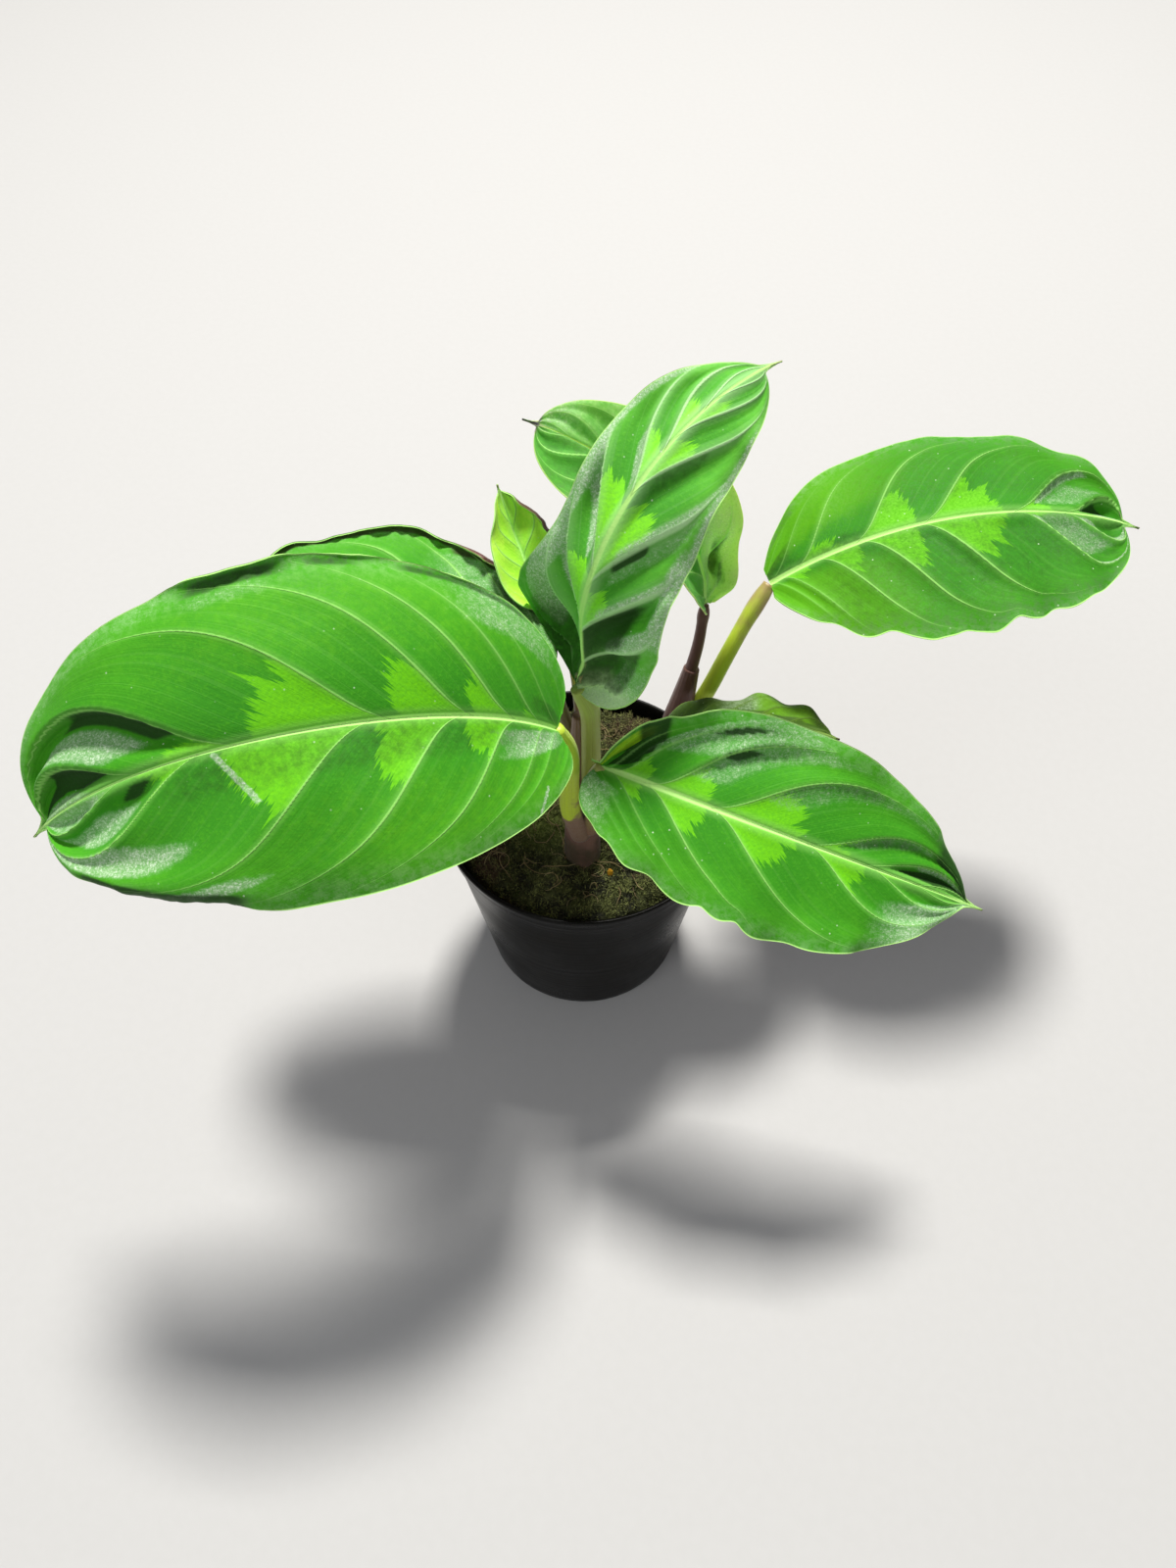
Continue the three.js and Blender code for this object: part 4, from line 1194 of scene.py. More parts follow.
@dataclass
class Blade:
    """One leaf blade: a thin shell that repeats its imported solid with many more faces."""

    name: str
    shape: LeafShape
    mesh_size: float = 0.8
    thickness: Pair = (0.75, 0.45)
    rib_depth: float = 1.3
    rib_half_width: float = 1.5
    groove_depth: float = 0.5
    ripple: float = 0.05
    unevenness: float = 0.4

    def midrib(self) -> dict[str, Array]:
        """Follows the midrib from base to tip.

        Returns:
            The places along it and the directions along it, to its left and up from the blade.
        """
        shape = self.shape
        part = np.linspace(0.0, 1.0, MIDRIB_STEPS + 1)
        heading = np.radians(shape.heading + shape.swing * part)
        rise = np.radians(shape.rise[0] + (shape.rise[1] - shape.rise[0]) * part)
        roll = np.radians(shape.roll + shape.twist * part)[:, None]
        along = np.stack([np.cos(rise) * np.cos(heading), np.cos(rise) * np.sin(heading), np.sin(rise)], 1)
        level = np.stack([-np.sin(heading), np.cos(heading), np.zeros_like(heading)], 1)
        upright = np.cross(along, level)
        steps = (along[1:] + along[:-1]) / 2 * (shape.length / MIDRIB_STEPS)
        place = np.concatenate([np.zeros((1, 3)), np.cumsum(steps, 0)]) + np.array(shape.base)
        return {
            "place": place,
            "along": along,
            "left": level * np.cos(roll) + upright * np.sin(roll),
            "up": upright * np.cos(roll) - level * np.sin(roll),
        }

    def frame_at(self, frames: dict[str, Array], part: Array) -> dict[str, Array]:
        """Reads the midrib's frame at any fraction of its length, carried on straight past its ends.

        Args:
            frames: What midrib() gives.
            part: The fractions, in any shape.

        Returns:
            The place and directions at each fraction.
        """
        inside = np.clip(part, 0.0, 1.0)
        steps = np.linspace(0.0, 1.0, MIDRIB_STEPS + 1)
        read = {
            key: np.stack([np.interp(inside, steps, values[:, axis]) for axis in range(3)], -1)
            for key, values in frames.items()
        }
        read["place"] = read["place"] + read["along"] * ((part - inside) * self.shape.length)[..., None]
        return read

    def outline(self, part: Array, half: Half) -> Array:
        """Gives the half-width as a share of the greatest.

        Args:
            part: How far along the blade, from 0 to 1.
            half: Which half.

        Returns:
            The share at each place.
        """
        shape, index = self.shape, half.value
        widest = shape.widest[index]
        share = (part + shape.lobe) / (DRIP_TIP_START + shape.lobe)
        rounding = np.clip(1 - (1 - share / widest) ** 2, 0, 1) ** shape.base_fullness[index]
        past = np.clip((share - widest) / (1 - widest), 0, 1)
        tapering = np.clip(1 - past ** MARGIN_POWER, 0, 1) ** shape.tip_fullness[index]
        reach = np.where(share < widest, shape.shoulder + (1 - shape.shoulder) * rounding, tapering)
        if shape.pinch and half is LEFT:
            at, depth, spread = shape.pinch
            reach = reach * (1 - depth * np.exp(-((part - at) / spread) ** 2))
        drip = DRIP_TIP_WIDTH * np.clip((1 - part) / DRIP_TIP_REACH, 0, 1) ** DRIP_TIP_HOLLOW
        if shape.corners[index] > 0:
            short = np.clip(1 - (part + 0.002) / shape.corners[index], 0, 1)
            reach = reach * (1 - short ** 2.6) ** shape.corner_power
            drip = drip * (1 - 0.9 * short)
        return (reach ** 3 + drip ** 3) ** (1 / 3)

    def margin_line(self, part: Array, half: Half) -> Array:
        """Gives places for noise that varies along one margin only."""
        return np.stack([part * self.shape.length, part * 0, part * 0 + half.sign], -1)

    def scalloping(self, part: Array, half: Half) -> Array:
        """Works out how far the margin wanders from the plain outline.

        Args:
            part: How far along the blade, from 0 to 1.
            half: Which half.

        Returns:
            What to add to the half-width, as a share of it.
        """
        line = self.margin_line(part, half)
        total = 2 * self.shape.waver[half.value] * value_noise(line, 11.0, self.shape.seed + 9)
        for scallop in self.shape.scallops:
            if scallop.half is half:
                total = total + scallop.size * np.exp(-((part - scallop.part) / scallop.reach) ** 2)
        return total

    def cells(self, root: Array, half: Half) -> tuple[Array, Array, Array]:
        """Says which cell between side veins each place lies in.

        Args:
            root: Where the side veins through the places meet the midrib.
            half: Which half.

        Returns:
            The cell numbers, the cells' lengths as fractions, and how far into its cell each place is.
        """
        borders = np.array([*BASAL_VEINS, *(cell.root for cell in self.shape.cells[half.value]), 1.0])
        number = np.clip(np.searchsorted(borders, root, side="right") - 1, 0, len(borders) - 2)
        size = borders[number + 1] - borders[number]
        return number, size, np.clip((root - borders[number]) / size, 0, 1)

    def cell_values(self, number: Array, half: Half, title: str) -> Array:
        """Reads one size of the cells; the basal lobes share the first cell's."""
        values = [getattr(cell, title) for cell in self.shape.cells[half.value]]
        return np.array([values[0]] * len(BASAL_VEINS) + values)[number]

    def relief(self, part: Array, across: Array, breadth: Array, half: Half) -> Array:
        """Works out how far the blade stands above its plain curved form.

        Args:
            part: Fractions along the midrib.
            across: Fractions from midrib to margin.
            breadth: The outline's share at each place.
            half: Which half.

        Returns:
            The height in millimetres.
        """
        shape = self.shape
        root = shape.vein_laws[half.value].root(part, across)
        number, _, share = self.cells(root, half)
        leaning = share ** self.cell_values(number, half, "lean")
        power = math.log(0.5) / np.log(self.cell_values(number, half, "peak"))
        bell = np.sin(np.pi * across ** power) * smoothstep(across, *RIB_REST)
        bell = bell * np.minimum(1, breadth / 0.4) * (1 - smoothstep(across, *MARGIN_FLAT))
        height = -self.cell_values(number, half, "depth") * 4 * leaning * (1 - leaning) * bell
        height += self.ripple * np.sin(6 * np.pi * share) * np.sin(np.pi * share) * bell
        from_base = np.hypot(part * shape.length, across * breadth * shape.width / 2)
        rest = smoothstep(from_base, *BASE_REST)
        for dimple in shape.dimples:
            if dimple.half is half:
                along = (part - dimple.part) / dimple.reach[0]
                out = (across - dimple.across) / dimple.reach[1]
                height = height - dimple.depth * rest * np.exp(-(along ** 2 + out ** 2))
        fade = np.minimum(1, (1 - part) * WAVE_FADE_NEAR_TIP)
        size_of_wave, count, start = shape.waves
        vein = 1 - np.clip(1 - part, 0, 1) ** (1 / WAVE_SWEEP)
        wave = np.sin(2 * np.pi * (count * vein + start) + half.sign)
        frill = shape.frill[half.value] * value_noise(self.margin_line(part, half), 5.5, shape.seed)
        height += fade * across ** 3 * (size_of_wave * wave + frill * across ** 2)
        return height

    def turn_of_rolls(self, part: Array, across: Array, half: Half) -> Array:
        """Adds up how far the margin's rolls have turned the blade.

        Args:
            part: Fractions along the midrib.
            across: Fractions from midrib to margin.
            half: Which half.

        Returns:
            The turn in radians, upwards.
        """
        total = np.zeros(part.shape)
        line, seed = self.margin_line(part, half), self.shape.seed
        uneven = value_noise(line, 4.0, seed + 5) + 0.5 * value_noise(line, 1.7, seed + 6)
        for roll in self.shape.rolls:
            if roll.half is half:
                window = smoothstep(part, roll.start - roll.soft, roll.start + roll.soft)
                window = window * (1 - smoothstep(part, roll.end - roll.soft, roll.end + roll.soft))
                inner = roll.inner + roll.unevenness * (1 - roll.inner) * uneven
                rolled = np.clip((across - inner) / (1 - inner), 0, 1)
                total += math.radians(roll.turn) * window * rolled
        return total

    def surface(self, rows: Array, across: Array, half: Half) -> tuple[Array, Array]:
        """Places the blade's middle surface.

        Args:
            rows: Fractions along the midrib, one per row.
            across: Fractions from midrib to margin, one per column.
            half: Which half.

        Returns:
            The points row by row, and how far along the midrib each lies.
        """
        shape = self.shape
        row, a = np.meshgrid(rows, across, indexing="ij")
        lobe = shape.lobe * np.maximum(1 - row / LOBE_REACH, 0) ** 2
        part = row - lobe * (2 * a - a * a)
        breadth = self.outline(row - lobe, half)
        reach = breadth * (shape.width / 2) * (1 + half.sign * shape.skew) * a
        reach = reach * (1 + self.scalloping(row - lobe, half) * a ** SCALLOP_POWER)
        bend = math.radians(shape.curl[half.value]) / (shape.width / 2)
        angle = math.radians(shape.fold[half.value]) - bend * reach + self.turn_of_rolls(part, a, half)
        steps = np.diff(reach, axis=1)
        middle = (angle[:, 1:] + angle[:, :-1]) / 2
        start = np.zeros((len(rows), 1))
        out = np.concatenate([start, np.cumsum(np.cos(middle) * steps, 1)], 1)
        lift = np.concatenate([start, np.cumsum(np.sin(middle) * steps, 1)], 1)
        at = self.frame_at(self.midrib(), part)
        height = lift + self.relief(part, a, breadth, half)
        return at["place"] + at["left"] * (half.sign * out)[..., None] + at["up"] * height[..., None], part

    def row_places(self) -> Array:
        """Spreads the rows evenly along the margin, so that they crowd where it turns in.

        Returns:
            The rows' fractions along the midrib.
        """
        fine = np.linspace(0.0, 0.999, 2000)
        steps = np.hypot(np.diff(fine) * self.shape.length,
                         0.7 * np.diff(self.outline(fine, RIGHT)) * self.shape.width / 2)
        run = np.concatenate([[0], np.cumsum(steps)])
        return np.interp(np.linspace(0, run[-1], int(run[-1] / self.mesh_size) + 2), run, fine)

    def column_places(self) -> Array:
        """Spreads the columns from midrib to margin, closer at both ends."""
        count = max(int(self.shape.width / 2 / self.mesh_size) - 6, 12)
        return np.concatenate([[0.0, 0.012, 0.024, 0.036, 0.05], np.linspace(0.07, 0.95, count),
                               [0.962, 0.974, 0.986, 1.0]])

    @staticmethod
    def window(value: Array, span: Pair, soft: float) -> Array:
        """Gives 1 within a span, easing to 0 over the width soft just outside it."""
        return smoothstep(value, span[0] - soft, span[0]) * (1 - smoothstep(value, span[1], span[1] + soft))

    def scar_mask(self, scar: Scar, place: Array) -> Array:
        """Works out how strongly a healed scratch shows.

        Args:
            scar: The scratch.
            place: Millimetres along the blade and across it, per point.

        Returns:
            Its strength at each point.
        """
        size = np.array([self.shape.length, self.shape.width / 2])
        start, end = np.array(scar.start) * size, np.array(scar.end) * size
        step = end - start
        share = np.clip((place - start) @ step / (step @ step), 0, 1)
        gap = np.linalg.norm(place - start - share[..., None] * step, axis=-1)
        return SCAR_STRENGTH * (1 - smoothstep(gap, 0.4 * scar.breadth, 1.3 * scar.breadth))

    def vein_values(self, rows: Array, part: Array, across: Array, half: Half) -> Array:
        """Works out what the finish reads at each point of one half.

        Args:
            rows: The rows' fractions.
            part: How far along the midrib each point lies.
            across: The columns' fractions.
            half: Which half.

        Returns:
            Nine numbers per point: root, across and phase; cell length, feather reach and half-width;
            and the strength of each tone of painted light or shade, the scars counted with the painted sheen.
        """
        shape = self.shape
        a = np.broadcast_to(across, part.shape)
        root = shape.vein_laws[half.value].root(part, a)
        number, size, share = self.cells(root, half)
        widths = self.outline(rows, half)[:, None] * (shape.width / 2) * (1 + half.sign * shape.skew)
        width = np.broadcast_to(widths, part.shape)
        tones = [np.zeros(part.shape) for _ in Tone]
        for patch in shape.patches:
            if patch.half is half:
                whole = patch.cell is None
                soft = patch.soft * (BLADE_SOFTNESS if whole else CELL_SOFTNESS)
                mask = self.window(part if whole else share, patch.share, soft)
                mask = mask * self.window(a, patch.across, patch.soft * ACROSS_SOFTNESS) * patch.strength
                if not whole:
                    mask = np.where(number - len(BASAL_VEINS) == patch.cell, mask, 0.0)
                tones[patch.tone.value] = np.maximum(tones[patch.tone.value], mask)
        # The pale scars go into the painted sheen's channel
        for scar in shape.scars:
            if scar.half is half:
                mask = self.scar_mask(scar, np.stack([part * shape.length, a * width], -1))
                tones[BLOOM.value] = np.maximum(tones[BLOOM.value], mask)
        stretch = size * shape.length / shape.vein_breadth
        feathers = self.cell_values(number, half, "feather")
        return np.stack([root, half.sign * a, number + share, stretch, feathers, width, *tones], -1)

    def shell(self, rows: Array, away: Array, grid: Array) -> tuple[Array, Array]:
        """Gives the middle surface its unevenness, its thickness, a groove above and a rib below.

        Args:
            rows: The rows' fractions along the midrib.
            away: The columns' fractions from the midrib, from the left margin to the right one.
            grid: The middle surface's points, row by row.

        Returns:
            The points of the upper side and of the underside.
        """
        seed = self.shape.seed
        noise = value_noise(grid, 16.0, seed) + 0.4 * value_noise(grid, 7.0, seed + 1)
        normal = np.cross(np.gradient(grid, axis=0), -np.gradient(grid, axis=1))
        normal /= np.linalg.norm(normal, axis=-1, keepdims=True) + 1e-12
        calm = np.minimum(1, 8 * rows)[:, None] * np.minimum(1, 8 * (1 - rows))[:, None]
        grid = grid + normal * (self.unevenness * noise * calm * away ** 0.5)[..., None]
        widths = self.outline(rows, LEFT)[:, None] * self.shape.width / 2
        narrow = np.minimum(1, widths / 5.0)
        sideways = away * widths / (self.rib_half_width * (1.1 - rows)[:, None])
        thick = self.thickness[0] + (self.thickness[1] - self.thickness[0]) * away ** 2
        groove = self.groove_depth * np.exp(-(sideways * 1.4) ** 2) * narrow
        groove = groove * np.minimum(1, 4 * (1 - rows))[:, None]
        rib = self.rib_depth * np.exp(-sideways ** 2) * narrow * (1 - rows)[:, None]
        return grid + normal * (thick / 2 - groove)[..., None], grid - normal * (thick / 2 + rib)[..., None]

    def build(self) -> Piece:
        """Makes the blade as a closed shell with its upper side, underside and rim.

        Returns:
            The blade.
        """
        shape = self.shape
        rows, inward = self.row_places(), self.column_places()
        left, left_part = self.surface(rows, inward, LEFT)
        right, right_part = self.surface(rows, inward, RIGHT)
        away = np.concatenate([inward[::-1], inward[1:]])[None, :]
        top, low = self.shell(rows, away, np.concatenate([left[:, ::-1], right[:, 1:]], 1))
        middle = len(inward) - 1
        number = np.arange(top[..., 0].size).reshape(top.shape[:2])
        quads = np.concatenate([squares(number[:, :middle + 1]), squares(number[:, middle:])])
        corners = np.concatenate([squares(self.vein_values(rows, left_part, inward, LEFT)[:, ::-1]),
                                  squares(self.vein_values(rows, right_part, inward, RIGHT))])
        data = MeshData()
        for places, order, finish in ((top, [0, 1, 2, 3], 0), (low, [0, 3, 2, 1], 1)):
            turned = corners[:, order].reshape(-1, 9)
            named = dict(zip(("blade_at", "blade_cell", "blade_tone"), np.split(turned, 3, axis=1)))
            data.add(places, quads[:, order], finish, named)
        self.add_rim(data, number, self.midrib()["place"][-1])
        finish = BladeFinish(f"velvet_{self.name}", shape.length, **shape.colours, glow=shape.glow)
        materials = [finish.build(), UndersideFinish(f"underside_{self.name}", shape.length).build()]
        piece = data.build(f"blade_{self.name}", materials)
        return settle(piece, "young_leaf" if shape.young else "leaf_blade", f"leaf_{self.name}")

    @staticmethod
    def add_rim(data: MeshData, number: Array, tip: Array) -> None:
        """Closes the shell along its margins and at its tip.

        Args:
            data: The mesh in the making.
            number: The upper side's point numbers; the underside's follow them.
            tip: The blade's tip.
        """
        last, low = number.shape[0] - 1, number.size
        loop = np.concatenate([number[last, :1], number[last - 1:0:-1, 0], number[0], number[1:, -1]])
        ahead, behind = loop[1:], loop[:-1]
        quads = np.stack([behind, ahead, ahead + low, behind + low], -1)
        spot = data.add(tip[None, :], np.zeros((0, 3), int))
        edge = number[last]
        point = np.full(len(edge) - 1, spot)
        fans = [np.stack([edge[:-1], edge[1:], point], -1),
                np.stack([edge[1:] + low, edge[:-1] + low, point], -1),
                np.array([(edge[0] + low, edge[0], spot)]), np.array([(edge[-1], edge[-1] + low, spot)])]
        plain = {"blade_at": (0.5, 1.0, 0.5), "blade_cell": (10.0, 0.0, 10.0), "blade_tone": (0.0, 0.0, 0.0)}
        for faces in (quads, *fans):
            data.add_faces(faces, 0, plain)


@dataclass
class Tube:
    """A round tube along a smooth curve, the making of stalks and sheaths."""

    path: Sequence[Triple]
    radii: Sequence[float]
    steps: int = 60
    sides: int = 28

    def centre_line(self) -> tuple[Array, Array]:
        """Follows the curve evenly.

        Returns:
            The places and the directions along it.
        """
        points = np.array(self.path, float)
        whole = np.concatenate([[2 * points[0] - points[1]], points, [2 * points[-1] - points[-2]]])
        places = []
        for index in range(len(points) - 1):
            p0, p1, p2, p3 = whole[index:index + 4]
            gaps = np.linalg.norm(np.diff(whole[index:index + 4], axis=0), axis=1) ** 0.5
            k0, k1, k2, k3 = np.cumsum([0, *gaps])
            t = np.linspace(k1, k2, 40, endpoint=index == len(points) - 2)[:, None]
            a1 = (k1 - t) / (k1 - k0) * p0 + (t - k0) / (k1 - k0) * p1
            a2 = (k2 - t) / (k2 - k1) * p1 + (t - k1) / (k2 - k1) * p2
            a3 = (k3 - t) / (k3 - k2) * p2 + (t - k2) / (k3 - k2) * p3
            b1 = (k2 - t) / (k2 - k0) * a1 + (t - k0) / (k2 - k0) * a2
            b2 = (k3 - t) / (k3 - k1) * a2 + (t - k1) / (k3 - k1) * a3
            places.append((k2 - t) / (k2 - k1) * b1 + (t - k1) / (k2 - k1) * b2)
        line = np.concatenate(places)
        run = np.concatenate([[0], np.cumsum(np.linalg.norm(np.diff(line, axis=0), axis=1))])
        even = np.linspace(0, run[-1], self.steps + 1)
        line = np.stack([np.interp(even, run, line[:, axis]) for axis in range(3)], -1)
        along = np.gradient(line, axis=0)
        return line, along / np.linalg.norm(along, axis=1, keepdims=True)

    def rings(self, form: Callable[[Array, Array], Array] | None = None) -> tuple[Array, Array]:
        """Places the rings of points around the curve.

        Args:
            form: Gives what to add to the radius from the share along and the turn around.

        Returns:
            The points, ring by ring, and the share along and turn around of each.
        """
        line, along = self.centre_line()
        sideways = np.cross(along, [0.0, 1.0, 0.0])
        sideways /= np.linalg.norm(sideways, axis=1, keepdims=True)
        forward = np.cross(along, sideways)
        share = np.linspace(0, 1, self.steps + 1)[:, None]
        turn = np.linspace(0, 1, self.sides + 1)[None, :]
        spots = np.linspace(0, 1, len(self.radii))
        radius = np.interp(share[:, 0], spots, self.radii)[:, None] + np.zeros_like(turn)
        if form:
            radius = radius + form(share, turn)
        angle = 2 * np.pi * turn
        rings = line[:, None] + sideways[:, None] * (radius * np.cos(angle))[..., None]
        rings = rings + forward[:, None] * (radius * np.sin(angle))[..., None]
        return rings, np.stack(np.broadcast_arrays(share, turn, share * 0.0), -1)

    @staticmethod
    def add_to(data: MeshData, rings: Array, at: Array, finish: int = 0) -> None:
        """Adds the tube with closed ends.

        Args:
            data: The mesh in the making.
            rings: The points from rings().
            at: Their shares along and around.
            finish: The material slot.
        """
        steps, sides = rings.shape[0] - 1, rings.shape[1] - 1
        number = ring_numbers(steps + 1, sides)
        places = rings[:, :-1].reshape(-1, 3)
        ends = np.stack([rings[0, :-1].mean(0), rings[-1, :-1].mean(0)])
        base = data.add(np.concatenate([places, ends]), squares(number), finish, {"stem_at": squares(at)})
        for ring, middle in ((0, len(places)), (steps, len(places) + 1)):
            first, second = number[ring, :-1], number[ring, 1:]
            pair = (second, first) if ring == 0 else (first, second)
            fan = np.stack([*pair, np.full(sides, middle)], -1) + base
            data.add_faces(fan, finish, {"stem_at": (ring / steps, 0.5, 0)})


@dataclass
class Stalk:
    """A leaf's stalk, with a shallow channel above and a swollen wrist below the blade."""

    name: str
    shape: LeafShape
    finish: Material
    channel: float = 0.35
    wrist: float = 0.35
    narrowing: float = 0.35
    rib_height: float = 0.05
    ribs: int = 9

    def form(self, share: Array, turn: Array) -> Array:
        """Works out the channel, the wrist and slight ribs.

        Args:
            share: How far along the stalk each place is.
            turn: How far round it the place is.

        Returns:
            What to add to the radius.
        """
        channel = -self.channel * np.exp(-((turn - 0.25) / 0.07) ** 2) * smoothstep(share, 0.15, 0.5)
        wrist = self.wrist * np.exp(-((share - 0.86) / 0.09) ** 2)
        narrowing = -self.narrowing * smoothstep(share, 0.93, 1.0)
        return channel + wrist + narrowing + self.rib_height * np.cos(2 * np.pi * self.ribs * turn)

    def build(self) -> Piece:
        """Makes the stalk.

        Returns:
            The stalk.
        """
        shape = self.shape
        rise, heading = math.radians(shape.rise[0]), math.radians(shape.heading)
        level = math.cos(rise)
        along = np.array([level * math.cos(heading), level * math.sin(heading), math.sin(rise)])
        end = np.array(shape.base) - along * STALK_SETBACK * 0.3
        tube, data = Tube([*shape.stalk, tuple(end)], shape.stalk_radius), MeshData()
        tube.add_to(data, *tube.rings(self.form))
        return settle(data.build(f"petiole_{self.name}", [self.finish]), "leaf_stalk", f"stalk_{self.name}")


@dataclass
class Shoot:
    """A leafy shoot: sheaths wrapped round each other, each with a free overlapping edge."""

    name: str
    path: Sequence[Triple]
    radii: Sequence[float]
    finish: Material
    overlap: float = 0.5
    turns: float = 0.35
    rib_height: float = 0.06
    ribs: int = 14

    def form(self, share: Array, turn: Array) -> Array:
        """Raises each sheath at its free edge, and ribs them slightly.

        Args:
            share: How far up the shoot each place is.
            turn: How far round it the place is.

        Returns:
            What to add to the radius.
        """
        spiral = (turn + self.turns * share) % 1.0
        inner = (turn - 0.42 + 0.5 * self.turns * share) % 1.0
        edge = self.overlap * (1 - spiral) ** 3 + 0.6 * self.overlap * (1 - inner) ** 4
        ribs = self.rib_height * np.cos(2 * np.pi * self.ribs * turn + 3 * share)
        return edge - self.overlap * 0.6 + ribs

    def build(self) -> Piece:
        """Makes the wrapped sheaths.

        Returns:
            The shoot.
        """
        tube, data = Tube(self.path, self.radii, steps=90, sides=48), MeshData()
        tube.add_to(data, *tube.rings(self.form))
        return settle(data.build(f"sheaths_{self.name}", [self.finish]), "shoot_sheath", f"shoot_{self.name}")


@dataclass
class NurseryPot:
    """The thin tapered pot with its stepped collar, rolled lip and drain holes.

    Its foot, collar and lip are given as steps out and up from the base's edge, from where the
    wall meets the collar, and from the rim.
    """

    finish: Material
    segments: int = 160
    drain_holes: int = 6
    drain_radius: float = 3.2
    drain_ring: float = 26.0
    drain_sides: int = 32
    foot: tuple[Pair, ...] = ((-1.2, 0.0), (-0.5, 0.2), (-0.12, 0.6))
    collar: tuple[Pair, ...] = ((0.05, -0.15), (0.3, 0.05), (0.85, 0.3), (1.1, 0.9), (1.25, 2.2))
    lip: tuple[Pair, ...] = ((-0.45, -2.4), (-0.05, -1.0), (-0.12, -0.4), (-0.4, -0.06), (-0.8, 0.0),
                             (-1.3, -0.15), (-1.8, -0.7))

    @staticmethod
    def wall_radius(height: float) -> float:
        """The wall's outer radius at a height."""
        top = POT_RIM_RADIUS - POT_COLLAR_STEP
        return POT_BASE_RADIUS + (top - POT_BASE_RADIUS) * height / POT_HEIGHT

    def profile(self) -> list[Pair]:
        """Runs round the wall's section, from the drain floor's middle outside to its middle inside.

        Returns:
            The radius and height of each point of the section.
        """
        shelf = POT_HEIGHT - POT_COLLAR_DEPTH
        wall, step = self.wall_radius, self.wall_radius(shelf)
        outer = [(POT_BASE_RADIUS + out, up) for out, up in self.foot] + [(wall(1.2), 1.2)]
        outer += [(wall(height), height) for height in np.linspace(4, shelf - 0.5, 12)]
        outer += [(step + out, shelf + up) for out, up in self.collar]
        outer += [(POT_RIM_RADIUS + out, POT_HEIGHT + up) for out, up in self.lip]
        inner = [(step - POT_WALL + 0.5, shelf + 1.5), (step - POT_WALL, shelf - 0.5)]
        inner += [(wall(height) - POT_WALL, height) for height in np.linspace(shelf - 6, 4, 8)]
        inside = wall(POT_FLOOR) - POT_WALL
        return outer + inner + [(inside - 1.0, POT_FLOOR + 0.4), (inside - 2.2, POT_FLOOR)]

    def build(self) -> Piece:
        """Makes the wall as a turned shell and the floor as a plate with round holes.

        Returns:
            The pot.
        """
        profile = np.array(self.profile())
        angle = np.linspace(0, 2 * np.pi, self.segments, endpoint=False)
        rings = np.stack([profile[:, :1] * np.cos(angle), profile[:, :1] * np.sin(angle),
                          profile[:, 1:] + 0 * angle], -1)
        data = MeshData()
        data.add(rings, squares(ring_numbers(*rings.shape[:2])))
        self.add_floor(data, rings[0], rings[-1])
        return settle(data.build("nursery_pot", [self.finish]), "pot_plastic", "pot")

    def add_floor(self, data: MeshData, under: Array, over: Array) -> None:
        """Fills the floor between the wall's two inner rings, with a ring of drain holes.

        Args:
            data: The mesh in the making.
            under: The wall's lowest outer ring.
            over: The wall's lowest inner ring.
        """
        edge = bpy.data.meshes.new("floor_outline")
        shape = bmesh.new()
        turn = np.linspace(0, 2 * np.pi, self.drain_sides, endpoint=False)
        for ring, height, facing in ((under, 0.0, -1), (over, POT_FLOOR, 1)):
            loops = [ring[:, :2]]
            for hole in range(self.drain_holes):
                angle = 2 * np.pi * (hole + 0.5) / self.drain_holes
                centre = self.drain_ring * np.array([math.cos(angle), math.sin(angle)])
                loops.append(centre + self.drain_radius * np.stack([np.cos(turn), np.sin(turn)], -1))
            edges = []
            for loop in loops:
                points = [shape.verts.new((x, y, height)) for x, y in loop]
                edges += [shape.edges.new((a, b)) for a, b in zip(points, points[1:] + points[:1])]
            bmesh.ops.triangle_fill(shape, use_beauty=True, use_dissolve=False, edges=edges,
                                    normal=(0, 0, facing))
        shape.to_mesh(edge)
        shape.free()
        places = np.array([vertex.co for vertex in edge.vertices])
        first = data.add(places, np.array([list(polygon.vertices) for polygon in edge.polygons]))
        per_side, spots = len(places) // 2, np.arange(self.drain_sides)
        for hole in range(self.drain_holes):
            start = first + len(under) + hole * self.drain_sides
            ring, following = start + spots, start + (spots + 1) % self.drain_sides
            data.add_faces(np.stack([ring, ring + per_side, following + per_side, following], -1))
        bpy.data.meshes.remove(edge)


